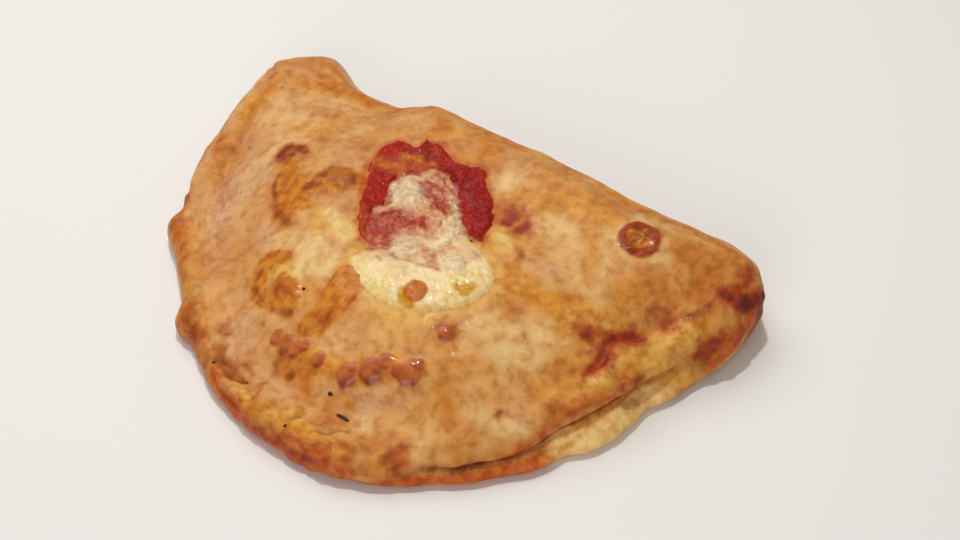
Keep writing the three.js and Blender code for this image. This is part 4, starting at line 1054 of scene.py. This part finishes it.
                (-68.8, 22, 31, 2), (-65.8, 22.8, 32, 1.6), (-62.8, 22.2, 33, 1.6)]),
            (0.8, 1.1, [(-67.2, 17.6, 31, 2.4), (-67.5, 14.2, 30, 2)]),
            (0.9, 1.3, [(-63.8, 6, 30, 1.2), (-59.1, -0.9, 30, 1.6), (-55, -6.6, 30, 1.6),
                (-49, -10.7, 30, 1.6), (-43.4, -12.1, 32, 1.6)]),
            (0.8, 1.8, [(-46.5, 2.2, 35, 2), (-44.8, 4.4, 36, 3.2), (-43.2, 6.1, 37, 2.4)]),
            (0.9, 0.9, [(-34.1, -68.7, 12, 1.6), (-28.9, -70.2, 13, 2.2), (-23.5, -71.1, 13, 2.2),
                (-18.2, -71.6, 13, 1.6)]),
            (0.7, 1.5, [(-45.6, 4.1, 36, 2), (-45, 7.8, 36, 2), (-42.9, 12.5, 37, 2),
                (-37.9, 14.7, 38, 2.4), (-32.8, 13.1, 38, 2.4)]),
            (0.62, 2.2, [(-46.2, 12.3, 37, 2.4), (-43.9, 16.1, 37, 3.2), (-39.5, 18, 37, 2.8),
                (-35, 15.9, 38, 2.4)]),
            (0.55, 2.2, [(-40, 10, 37, 2.8), (-33.9, 9.6, 38, 2.8)]),
            (0.8, 1.3, [(-41.2, -31.5, 24, 1.2), (-40.2, -36.6, 21, 1.2), (-36.4, -39.9, 21, 1.2),
                (-31.4, -42.4, 22, 1.2)]),
            (0.7, 1.3, [(-2, -39.3, 30, 1.2), (-4.1, -44.3, 28, 1.2), (-6.9, -48, 25, 1.2)]),
            (0.5, 1.8, [(-31.1, -35.2, 28, 1.6), (-26.1, -38.4, 28, 2.8), (-22.6, -37.4, 28, 2)]),
            (0.8, 1.3, [(-20.4, -43.9, 25, 2), (-17.8, -43.6, 26, 2)]),
            (1, 0.9, [(-34.5, -68.8, 12, 1)]),
            (0.9, 0.9, [(-17.7, -71.7, 13, 1.2), (-16.5, -70.8, 13, 0.8)]),
            (0.7, 0.9, [(-28, -71.4, 12, 0.6), (-22.3, -72.5, 12, 0.6)]),
            (1, 1.8, [(-3.5, -61.6, 16, 2)]),
            (0.8, 2.2, [(48.4, -64, 14, 2.4), (45.5, -69.5, 13, 2.8), (49.5, -70.3, 10, 2.4)]),
            (0.8, 2.2, [(81.9, -21.9, 19, 2.4), (85.1, -19.7, 18, 2.4)]),
            (0.9, 1.8, [(-99.7, -9.4, 11, 2), (-101, -6.2, 11, 1.2)]),
            (0.7, 1.8, [(-96.4, -19, 11, 1.2), (-93, -24.8, 10, 1.2)]),
            (0.9, 2.2, [(-58.2, -54.3, 12, 2.4), (-56.5, -58.7, 11, 2), (-50.1, -60.5, 11, 2.4)]),
            (0.9, 1.5, [(101.9, 39.6, 25, 1.6), (104.1, 42.8, 26, 1.6), (105.5, 47.4, 27, 1.2)]),
            (0.6, 2.2, [(109.4, 66.1, 30, 2.8), (111.4, 64.6, 27, 2)]),
            (0.8, 1.8, [(108.9, 57.4, 27, 3.6), (111.2, 61.5, 27, 2.4)]),
            (0.6, 1.8, [(97, 8.3, 9, 3.6), (101.8, 5.1, 18, 2.8)]),
            (0.7, 1.1, [(69.2, -33.8, 19, 1.3), (68.8, -35.7, 19, 0.8)]),
            (0.6, 1.1, [(26.6, -55.2, 20, 1)]),
            (0.6, 1.1, [(61.9, -28.3, 25, 1)]),
            (0.6, 1.1, [(61.2, -8.9, 30, 1.2), (58.9, -8, 31, 0.8)]),
            (1, 1.1, [(117.8, 55.5, 9, 1.6), (118, 60.2, 14, 1.2), (117.6, 51.4, 9, 1.2)]),
            (0.8, 1.8, [(13.6, -83.4, 3, 2), (18.9, -83.3, 3, 2.4), (23.3, -82.5, 2, 2)]),
            (0.8, 1.3, [(-6.8, -81.7, 6, 1.6), (-0.5, -82.7, 6, 1.6), (6.1, -83.3, 6, 1.2),
                (13.1, -83.5, 7, 1.6), (24.9, -82.6, 6, 1.6)]),
            (0.9, 1.1, [(47.7, -73.9, 5, 1.2), (53, -69.9, 5, 1.2), (56.5, -66.5, 4, 1.2)]),
            (0.7, 1.3, [(26.7, 28.8, 39, 1.2)]),
            (0.7, 1.5, [(39.2, 20.4, 38, 1.2), (41.5, 18.3, 38, 1.2)]),
            (0.6, 1.5, [(-12, -60.3, 16, 1.6), (-9.4, -61.8, 15, 1.2)]),
            (0.6, 1.5, [(-26.8, -49.4, 19, 0.8)]),
        ],
        "char": [
            (0.45, 1, [(-70.2, 15, 29, 1.2), (-71.8, 17.6, 29, 1.6), (-71.1, 20.5, 30, 1.6),
                (-67.9, 22.2, 31, 1.4), (-63.7, 22.7, 33, 1.2)]),
            (1, 1.6, [(116.5, 66.9, 20, 2), (117.4, 65, 17, 2), (118, 62.6, 13, 1.6)]),
            (0.9, 1.9, [(107.7, 52.2, 27, 1.2), (111, 54.8, 25, 2), (114, 58.6, 23, 2.8),
                (116, 62.8, 22, 2.4)]),
            (0.6, 1.9, [(27.9, 32.2, 39, 2)]),
        ],
    },
    # depth or height in mm, softness, then x, y, z and radius
    "creases": [
        (1.3, 1.2, [(-33, -68.8, 13, 1.6), (-26.3, -69.9, 12, 2.2), (-19.4, -71.4, 13, 1.6)]),
        (1.2, 1.4, [(84.2, -3.2, 23, 0.8), (85, 0.8, 23, 1.2), (86.1, 3.6, 22, 1.6), (84.7, 6.4, 23, 1.6),
            (83.8, 9.7, 24, 1.6), (85.1, 13.7, 24, 1.6), (87.8, 18.2, 23, 1.2), (90.8, 21, 22, 0.8)]),
        (0.7, 1.4, [(90.7, 32.1, 26, 1.2), (93.9, 34.6, 25, 1.6), (97, 34.6, 24, 1.6),
            (97.4, 30.8, 22, 1.6)]),
        (0.8, 1.4, [(114.4, 48.4, 21, 1.2), (113.6, 43, 19, 2), (111.7, 38.1, 15, 2.4),
            (109.8, 35.3, 13, 2)]),
        (1.1, 1.8, [(-101.4, 41, 24, 1.2), (-99.9, 28.5, 19, 1.2), (-97.6, 14.1, 14, 1.2),
            (-88.8, -6, 14, 1.2), (-76.3, -24.6, 14, 1.2), (-62.5, -41.1, 14, 1.2),
            (-51.1, -52.1, 14, 1.2)]),
        (0.7, 1, [(-4.3, -75, 13, 0.8), (-0.2, -76.1, 13, 0.8), (4.4, -79, 12, 0.8)]),
        (0.8, 1, [(23.9, -74, 13, 0.8), (29.7, -74.6, 13, 1), (35.4, -75, 13, 0.8)]),
        (0.7, 1, [(10.6, -70.8, 14, 0.8), (14.1, -72.3, 14, 0.8), (17.9, -70.9, 13, 0.8)]),
        (0.6, 1, [(16.6, -81.9, 10, 0.8), (22.7, -80.6, 11, 1.2), (29.4, -78.9, 11, 0.8)]),
        (0.5, 1.2, [(3, -64.6, 15, 0.8), (8, -64, 15, 0.8), (11.8, -63, 16, 0.8)]),
        (0.5, 1.2, [(38.1, 22, 38, 0.8), (41.5, 18.3, 38, 1.2), (43.2, 13.4, 38, 0.8)]),
        (0.9, 1.6, [(-96.9, 54.9, 28, 0.8), (-99.5, 45.1, 26, 1.2), (-99.5, 33.3, 21, 1.6),
            (-98.4, 21.4, 16, 1.6), (-96.1, 9.8, 14, 1.6)]),
        (0.8, 1.2, [(-98.4, 1.6, 14, 0.8), (-92.1, -8.2, 14, 1.2), (-85.8, -19, 14, 1.2),
            (-77.9, -25.7, 14, 0.8)]),
        (0.8, 1.1, [(-20.1, -75.2, 12, 0.8), (-13.5, -74, 13, 1.2), (-7, -73.9, 14, 0.8)]),
        (0.8, 1.1, [(-29.3, -74.9, 8, 0.8), (-21.1, -77.8, 8, 1), (-12.6, -80, 8, 0.8)]),
        (0.9, 1.1, [(8.2, -79.1, 12, 0.8), (14, -78.5, 13, 1), (20.1, -77, 13, 0.8)]),
        (0.8, 1.1, [(-3, -81.4, 9, 0.8), (4, -82.1, 9, 0.8), (9.8, -82.6, 9, 0.8)]),
        (0.7, 1.1, [(-49.2, -55.5, 13, 0.8), (-45.2, -61.3, 12, 1.2), (-38.2, -65, 12, 0.8)]),
    ],
    "ridges": [
        (1.3, 3, [(-111.3, 58.1, 25, 2), (-110.4, 51.4, 25, 2)]),
        (1.1, 2.5, [(91.2, -2.1, 20, 3.2), (89, 6.4, 22, 3.2), (93.2, 18.5, 21, 3.6), (100.1, 26.7, 20, 4),
            (104.6, 34.3, 22, 3.6)]),
        (0.9, 1.6, [(3.4, -74.3, 13, 2.4), (7.5, -71.4, 13, 2.4)]),
        (0.9, 1.6, [(28.1, -70.7, 14, 2.8), (35, -71.2, 13, 2.8)]),
        (0.8, 1.6, [(-11.5, -78.2, 11, 3.2), (-4.4, -79.4, 11, 3.2)]),
        (0.8, 1.6, [(18.3, -78.1, 13, 3.6)]),
        (0.7, 1.6, [(8.9, -66.4, 14, 2.4)]),
        (0.9, 1.6, [(-100.1, -8.5, 11, 2.4)]),
        (0.9, 1.6, [(-93.2, -22.6, 11, 2.8)]),
        (0.7, 1.6, [(-78.4, -29.8, 14, 2.8)]),
        (0.8, 1.6, [(-54.7, -59.7, 10, 3.6)]),
        (0.9, 1.6, [(-17.8, -52.1, 21, 2), (-10.1, -53.5, 20, 2.8), (-2.9, -53.2, 22, 2.4),
            (5.6, -54.5, 23, 2.8), (16.1, -54.7, 24, 3.2), (24.4, -49.6, 27, 3.2), (30.5, -44.3, 27, 3.2),
            (36.7, -41.9, 28, 3.2)]),
        (0.8, 1.4, [(99.3, 3.1, 19, 3.2)]),
        (0.6, 2, [(31.1, 19.2, 38, 3.6)]),
        (0.5, 2, [(74.8, 8.8, 29, 2.8)]),
        (1, 2, [(-103.1, 57.4, 28, 2), (-105.3, 47.2, 27, 2.4), (-105.4, 35.4, 22, 2.4),
            (-104, 23.1, 16, 2.4), (-102.8, 11.5, 14, 2)]),
        (0.8, 1.6, [(-18.5, -77.2, 10, 2.4), (-11.8, -77.3, 11, 2.8)]),
        (1, 1.6, [(0.8, -80.2, 11, 2.8), (7.9, -81.1, 11, 2.8)]),
        (1, 1.6, [(25, -80, 11, 2.8), (31.4, -79.2, 10, 2.8)]),
        (0.8, 1.5, [(2.4, -68.5, 14, 2.4), (-3.7, -70, 13, 2)]),
    ],
    # beads of cheese fried in their own fat: x, y, radius
    "beads": [(-16.9, -52.2, 2.6), (-11.7, -53.3, 3.2), (-6.8, -53.6, 2.8), (-4.1, -51.6, 2),
        (3.8, -53.5, 2.6), (16.3, -53.7, 3.6), (17.1, -50.7, 1.8), (23.4, -48.9, 3.8), (24.6, -46.4, 2.4),
        (26.4, -44.1, 2.8), (31.6, -44.5, 2), (33.8, -43.9, 2.4), (36, -42.8, 4), (37.1, -38.9, 2),
        (38.7, -24.8, 3)],
    # least height in mm and how much more in a mm of radius; under 1, steep makes their sides steeper
    "beadShape": {"wider": 1.3, "least": 0.7, "more": 0.3, "steep": 0.75},
    # where, half the length and width, which way it points, height of its rim and of its crumpled skin
    "blister": {"at": (72.2, 49.8), "long": 7.2, "wide": 7.8, "turn": -58, "rim": 0.7, "crumple": 0.8},
}


def sector(name):
    # 1 on one part of the edge, and 0 on the others and underneath
    start, full, fading, end = crustLooks["sectors"][name]
    return smooth(start, full, crustBearing) * (1 - smooth(fading, end, crustBearing)) * top


def crustStrokes(place):
    masks = paint(place, crustLooks["strokes"])
    # what took the most heat stands in a ring of lighter brown
    for name, ring, wider, strength in crustLooks["rings"]:
        for how, soft, line in crustLooks["strokes"][name]:
            line = [(*spot[:3], spot[3] + wider) for spot in line]
            atLeast(masks, ring, how * strength * strokeAt(place, line, soft + wider))
    return masks


def doughRelief(place, free):
    # how far the bare dough rises in mm, and a mask of the creases between the lumps of its rim, where
    # painted shade goes
    lift = sum(high * noise(base, size, k * 2) for k, (size, high) in enumerate(crustLooks["swells"])) * free
    onRim = smooth(0.2, 1.2, edgeStop) * (1 - smooth(4.2, 5, edgeStop)) * top
    size, high = crustLooks["rimLumps"]
    lift += high * onRim * noise(base, size, 9)
    # the rolled rim in front is torn into lumps with creases between them
    tears = crustLooks["tears"]
    onTears = smooth(*tears["from"], crustRing / crustForm["domeRings"]) * (1 - smooth(4, 5, edgeStop))
    torn = sector("torn") * onTears
    lump = np.abs(noise(wander(base, 6, 1.5, 63), tears["size"], 61))
    lift += tears["height"] * torn * (np.minimum(lump, 0.6) * 2.2 - 0.6)
    for depth, soft, line in crustLooks["creases"]:
        lift -= crustLooks["folded"] * depth * strokeAt(place, line, soft)
    for height, soft, line in crustLooks["ridges"]:
        lift += crustLooks["folded"] * height * strokeAt(place, line, soft)
    lift += crustLooks["filling"] * sector("filled") * bell(edgeStop, 2.0, 0.5)
    return lift, torn * (1 - smooth(0, 0.3, lump))


def layFried(lift, masks):
    fried = crustLooks["fried"]
    thick = fried["thick"] + fried["uneven"] * noise(base, fried["size"], 11)
    lift += smooth(0.25, 0.75, masks["fried"]) * thick + crustLooks["oil"] * smooth(0.3, 0.9, masks["film"])
    lift -= crustLooks["soaked"] * masks["wine"] * smooth(79, 69, base[:, 0])
    # a skin of fried cheese is darkest along its edge
    atLeast(masks, "toasted", 0.6 * bell(masks["fried"], 0.6, 0.16))
    return lift


def layBeads(lift, masks):
    near = wander(base, 3, 0.3, 22)
    shape = crustLooks["beadShape"]
    for x, y, radius in crustLooks["beads"]:
        east, north = near[:, 0] - x, near[:, 1] - y
        away = np.hypot(east, north) / (shape["wider"] * radius) + 2.0 * below
        dome = np.clip(1 - away ** 2, 0, 1) ** shape["steep"]
        lift = np.maximum(lift, lift * (1 - dome) + (shape["least"] + shape["more"] * radius) * dome)
        # each bead is painted darker on its side towards the front: painted shade
        front = (east * 0.3 - north * 0.95) / radius
        atLeast(masks, "bead", smooth(0.1, 0.8, dome))
        atLeast(masks, "beadFrontShade", 0.8 * smooth(0.1, 0.6, dome) * smooth(0, 1, front))
    return lift


def layScabs(lift, masks):
    scabs = crustLooks["scabs"]
    lumps = noise(base, scabs["size"], 12)
    scabby = np.maximum(masks["leak"] * smooth(96, 104, base[:, 0]), 0.4 * masks["char"])
    atLeast(masks, "toasted", scabby * smooth(0.2, -0.4, lumps))
    return lift + scabby * (scabs["thick"] + scabs["uneven"] * lumps)


def sinkBlister(lift, masks, place):
    # the big blister has fallen in: a rim round a crumpled skin
    blister = crustLooks["blister"]
    c, s = math.cos(math.radians(blister["turn"])), math.sin(math.radians(blister["turn"]))
    x, y = place[:, 0] - blister["at"][0], place[:, 1] - blister["at"][1]
    away = np.hypot((x * c + y * s) / blister["long"], (y * c - x * s) / blister["wide"])
    inside = 1 - smooth(0.86, 1.02, away)
    rim = bell(away, 0.82, 0.22)
    folds = 1 - np.abs(noise(base, 2.6, 15)) * 2.4
    atLeast(masks, "fried", inside)
    atLeast(masks, "toasted", np.maximum(rim, inside * (0.55 - 0.4 * folds)))
    atLeast(masks, "wine", rim * (0.85 + 0.4 * noise(base, 5, 64)))
    return lift + blister["rim"] * rim + inside * (blister["crumple"] * folds - 0.3) * (1 - 0.6 * rim)


def bakeTop(masks, free):
    # the fold at the back browns like the right end
    onFold = smooth(48, 66, base[:, 1]) * smooth(-50, -20, base[:, 0])
    right = np.maximum(smooth(25, 60, base[:, 0]), onFold)
    bare = free * (1 - 0.8 * masks["pale"])
    for name, size, which, mean, more in crustLooks["bake"]:
        uneven = crustLooks["bakeSwing"] * noise(base, size, which, 3)
        atLeast(masks, name, (mean + more * right + uneven) * bare)
    freckles = crustLooks["freckles"]
    spots = smooth(*freckles["over"], noise(base, freckles["size"], 46))
    atLeast(masks, "toasted", freckles["strength"] * spots * bare)


def bakeAndShadeEdge(masks, crease):
    # colour that follows the form: browning, painted shade in the groove, the creases and along the back
    # crest, and painted light on the lip
    # the lip is painted lighter than its dough, as painted light against the shade under the fold, and is
    # kept clear of the groove's painted shade
    lip = sector("lip")
    masks["lip"] = smooth(2.5, 2.9, edgeStop) * lip
    # the groove over the lip is painted dark red-brown: the crimp's own colour, with painted shade of the
    # groove on top
    groove = bell(edgeStop, 2.2, 0.55) * sector("groove")
    masks["seam"] = groove * (0.9 + 0.2 * noise(base, 9, 40)) * (1 - 0.35 * sector("filled"))
    for name in ("seam", "wine", "toasted", "leak"):
        masks[name] *= 1 - 0.8 * smooth(2.1, 2.6, edgeStop) * lip
    underRim = smooth(2.4, 3, edgeStop) * sector("underRim")
    rolled = (1 - sector("noRim")) * (0.6 + 0.4 * sector("front")) * top
    parts = {
        "foot": (1 - smooth(1, 6, base[:, 2])) * top * (1 - masks["lip"]) * (1 - underRim),
        "rim": smooth(0.3, 1.8, edgeStop) * rolled,
        "lowRim": smooth(1.6, 3, edgeStop) * rolled,
        # the back crest: browning, darkened further as painted shade where the fold turns away
        "crest": bell(edgeStop, 0.3, 0.8) * smooth(16, 30, base[:, 2]) * sector("back"),
        "backSide": smooth(0.6, 2, edgeStop) * sector("back"),
    }
    for part, name, strength, mean, swing, size, which in crustLooks["edgeBakeAndShade"]:
        atLeast(masks, name, strength * parts[part] * (mean + swing * noise(base, size, which)))
    for name, strength in crustLooks["evenBakeAndShade"]["underRim"].items():
        atLeast(masks, name, strength * underRim)
    for name, strength in crustLooks["evenBakeAndShade"]["crease"].items():
        atLeast(masks, name, strength * crease)
    masks["under"] = 1.0 * below


def crustSurface():
    place = wander(base, *crustLooks["uneven"], 20)
    masks = crustStrokes(place)
    fromSauce, fromCheese = [outsideTopping(place, form) for form in toppings.values()]
    topped = (1 - smooth(0, 3, np.minimum(fromSauce, fromCheese))) * onDome
    # the dough rises and browns where nothing lies on it and it doesn't lie on the table
    free = top * smooth(0, 3, base[:, 2]) * (1 - 0.85 * topped)
    lift, crease = doughRelief(place, free)
    lift = layFried(lift, masks)
    lift = layBeads(lift, masks)
    lift = layScabs(lift, masks)
    lift = sinkBlister(lift, masks, place)
    # oil and sauce have crept out round the toppings
    for name, away in (("leak", fromSauce), ("film", fromCheese)):
        wide, strength = crustLooks["halos"][name]
        atLeast(masks, name, strength * (1 - smooth(0, wide, away)) * onDome)
    bakeTop(masks, free)
    bakeAndShadeEdge(masks, crease)
    points = base + crustNormals * lift[:, None]
    # what lies on the table stays flat
    points[:, 2] = np.where(edgeStop < edgeSpans, np.maximum(points[:, 2], 0), 0)
    return points, masks


crustPoints, crustMasks = crustSurface()
crust = meshPiece("baked_crust", crustPoints, crustFaces, crustMasks, bakedDough)
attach(crust, "root")
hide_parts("crust")
print("calzone: crust,", len(crustFaces), "faces")


def fromRimOf(flat, rim):
    # distance of each place from the nearest point of a topping's rim
    parts = np.array_split(flat, 20)
    return np.concatenate([np.linalg.norm(part[:, None] - rim[None], axis=2).min(axis=1) for part in parts])


def toppingPiece(name, form, material):
    # a pad of cheese or sauce: rings from its middle out to the rim, and a point under the crust closes it
    around, rings = 400, 84
    turn = allRound(around)
    towards = np.stack([np.cos(turn), np.sin(turn)], axis=1)
    middle = np.array(form["middle"])
    reach = reachOf(form, around)
    rim = np.column_stack([middle + towards * reach[:, None], np.zeros(around)])
    reach = reach + form["ragged"] * (0.5 * noise(rim, 6, 50) + 0.45 * noise(rim, 2, 55))
    share = (np.arange(1, rings + 1) / rings) ** 0.75  # the rings lie closer towards the rim
    flat = np.vstack([middle, (middle + (share[:, None] * reach)[:, :, None] * towards).reshape(-1, 2)])
    inCrust = np.column_stack([flat, np.full(len(flat), form["level"])])
    fromRim = fromRimOf(flat, flat[-around:])
    profile = smooth(0, form["roll"], fromRim)
    over = form["thick"] * profile - form["sunk"] * (1 - profile) ** 2
    bulk = smooth(0, 0.5 * form["roll"], fromRim)
    inSauce = 1 - smooth(-3, 1, outsideTopping(flat, toppings["tomato_sauce"]))
    underCheese = 1 - smooth(-4, -1, outsideTopping(flat, toppings["melted_cheese"]))
    for k, (size, high) in enumerate(form["lumps"]):
        over += high * noise(inCrust, size, 60 + k) * bulk * (1 + form["lumpier"] * inSauce)
    for x, y, radius, high in form["swells"]:
        away = np.hypot(flat[:, 0] - x, flat[:, 1] - y) / radius
        over += high * np.exp(-1.6 * away ** 2) * bulk
    place = wander(inCrust, *form["uneven"], 70)
    masks = paint(place[:, :2], form["strokes"])
    masks.update(paint(flat, form["sharp"]))
    for mask, depth, spared in form["depths"]:
        over -= depth * masks[mask] * (1 - masks.get(spared, 0))
    over += form["heaped"] * inSauce - form["pressed"] * underCheese
    shares = {"everywhere": 1, "inSauce": inSauce, "onDough": 1 - inSauce}
    for mask, strength, full, end, where in form["rimColours"]:
        atLeast(masks, mask, strength * (1 - smooth(full, end, fromRim)) * shares[where])
    closing = len(flat)
    points = np.vstack([np.column_stack([flat, topAt(flat) + over]), [*middle, form["closing"]]])
    grid = np.arange(1, closing).reshape(rings, around)
    faces = ringFaces(grid) + fan(grid[0], 0, tipFirst=True) + fan(grid[-1], closing)
    return meshPiece(name, points, faces, {key: np.append(mask, 0) for key, mask in masks.items()}, material)


sauce = toppingPiece("sauce_patch", toppings["tomato_sauce"], tomatoSauce)
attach(sauce, "root")
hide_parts("tomato_sauce")
cheese = toppingPiece("cheese_pool", toppings["melted_cheese"], meltedCheese)
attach(cheese, "root")
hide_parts("melted_cheese")
print("calzone: sauce and cheese")

herbs = {
    # x, y, half length, half width, turn
    "rows": [(14.3, -61, 0.85, 0.75, 20), (23.2, -65, 2.6, 0.6, 0), (7.2, -78.4, 0.65, 0.5, 40),
             (-18.4, -34.9, 0.65, 0.55, 0), (-34.5, -68.7, 0.5, 0.4, 10), (-16.8, -71.1, 0.5, 0.35, 0)],
    "halfHeight": 0.4,
    "raised": 0.1,  # of its middle over the crust
    "uneven": 0.35,
}


def onCrust(x, y):
    # the nearest point of the top of the crust, and the way it faces
    away = np.hypot(crustPoints[:, 0] - x, crustPoints[:, 1] - y)
    near = np.argmin(np.where(crustNormals[:, 2] < 0.1, np.inf, away))
    return crustPoints[near], crustNormals[near]


def herbPiece(name, material):
    # one uneven ball for each fleck, pressed flat on the crust
    around, rings = 48, 24
    down = np.pi * np.arange(1, rings) / rings
    turn = allRound(around)
    belts = [np.outer(np.sin(down), np.cos(turn)), np.outer(np.sin(down), np.sin(turn)),
             np.outer(np.cos(down), np.ones(around))]
    ball = np.vstack([[0, 0, 1], np.stack(belts, axis=2).reshape(-1, 3), [0, 0, -1]])
    points, faces = [], []
    for number, (x, y, long, wide, turned) in enumerate(herbs["rows"]):
        at, up = onCrust(x, y)
        side = np.cross([0, 1, 0], up)
        side /= np.linalg.norm(side)
        bulge = 1 + herbs["uneven"] * noise(ball + number * 3.1, 0.9, 90)
        u, v, w = (ball * bulge[:, None] * np.array([long, wide, herbs["halfHeight"]])).T
        c, s = math.cos(math.radians(turned)), math.sin(math.radians(turned))
        axes = np.array([side, np.cross(up, side), up])
        points.append(at + np.column_stack([u * c - v * s, u * s + v * c, w + herbs["raised"]]) @ axes)
        first = number * len(ball)
        last = first + len(ball) - 1
        grid = np.arange(first + 1, last).reshape(-1, around)
        faces += ringFaces(grid) + fan(grid[0], first, tipFirst=True) + fan(grid[-1], last)
    return meshPiece(name, np.vstack(points), faces, {}, material)


herbFlecks = herbPiece("herb_flecks", driedHerb)
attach(herbFlecks, "root")
print("calzone: herb")

studio = {
    "floor": {"colour": "#F2EFEA", "roughness": 0.9, "half": 4, "down": 0.0003},  # just under the crust
    "sky": {"colour": (1, 0.98, 0.95, 1), "strength": 0.26},  # even light from all round
    "camera": {"at": (0.3315, -0.4165, 0.5557), "towards": (-0.4084, 0.5752, -0.7087), "lens": 75.75,
               "sensor": 36},
    "lit": (0, 0, 0.02),  # where the lamps point
    # where each lamp stands, its size in metres and its power in watts
    "lamps": {
        "flash": {"at": (-0.1, 0.12, 1.1), "size": 0.07, "power": 4},
        "softbox": {"at": (-0.55, 0.25, 1.0), "size": 0.9, "power": 4.7},
        "frontlight": {"at": (0.35, -1.0, 0.55), "size": 0.7, "power": 3.6},
    },
}


def aim(thing, towards):
    # lamps and cameras look along their own -Z
    thing.rotation_euler = Vector(towards).to_track_quat("-Z", "Y").to_euler()


floor = studio["floor"]
half, low = floor["half"], -floor["down"]
floorMesh = bpy.data.meshes.new("table")
floorMesh.from_pydata([(-half, -half, low), (half, -half, low), (half, half, low), (-half, half, low)], [],
                      [(0, 1, 2, 3)])
table = bpy.data.objects.new("table", floorMesh)
bpy.context.scene.collection.objects.link(table)
tableTop = bpy.data.materials.new("matt_paper")  # even and dull, so it only takes the soft shadow
tableTop.use_nodes = True
paper = tableTop.node_tree.nodes["Principled BSDF"].inputs
paper["Base Color"].default_value = toLinear(floor["colour"])
paper["Roughness"].default_value = floor["roughness"]
floorMesh.materials.append(tableTop)

world = bpy.data.worlds.new("studio")
world.use_nodes = True
background = world.node_tree.nodes["Background"].inputs
background["Color"].default_value = studio["sky"]["colour"]
background["Strength"].default_value = studio["sky"]["strength"]
bpy.context.scene.world = world

for name, lamp in studio["lamps"].items():
    light = bpy.data.lights.new(name, "AREA")
    light.shape = "DISK"
    light.size = lamp["size"]
    light.energy = lamp["power"]
    holder = bpy.data.objects.new(name, light)
    holder.location = lamp["at"]
    aim(holder, Vector(studio["lit"]) - Vector(lamp["at"]))
    bpy.context.scene.collection.objects.link(holder)

cameraData = bpy.data.cameras.new("camera")
cameraData.lens = studio["camera"]["lens"]
cameraData.sensor_width = studio["camera"]["sensor"]
camera = bpy.data.objects.new("camera", cameraData)
camera.location = studio["camera"]["at"]
aim(camera, studio["camera"]["towards"])
bpy.context.scene.collection.objects.link(camera)
bpy.context.scene.camera = camera
bpy.context.scene.view_settings.view_transform = "Standard"
print("calzone: light and camera")
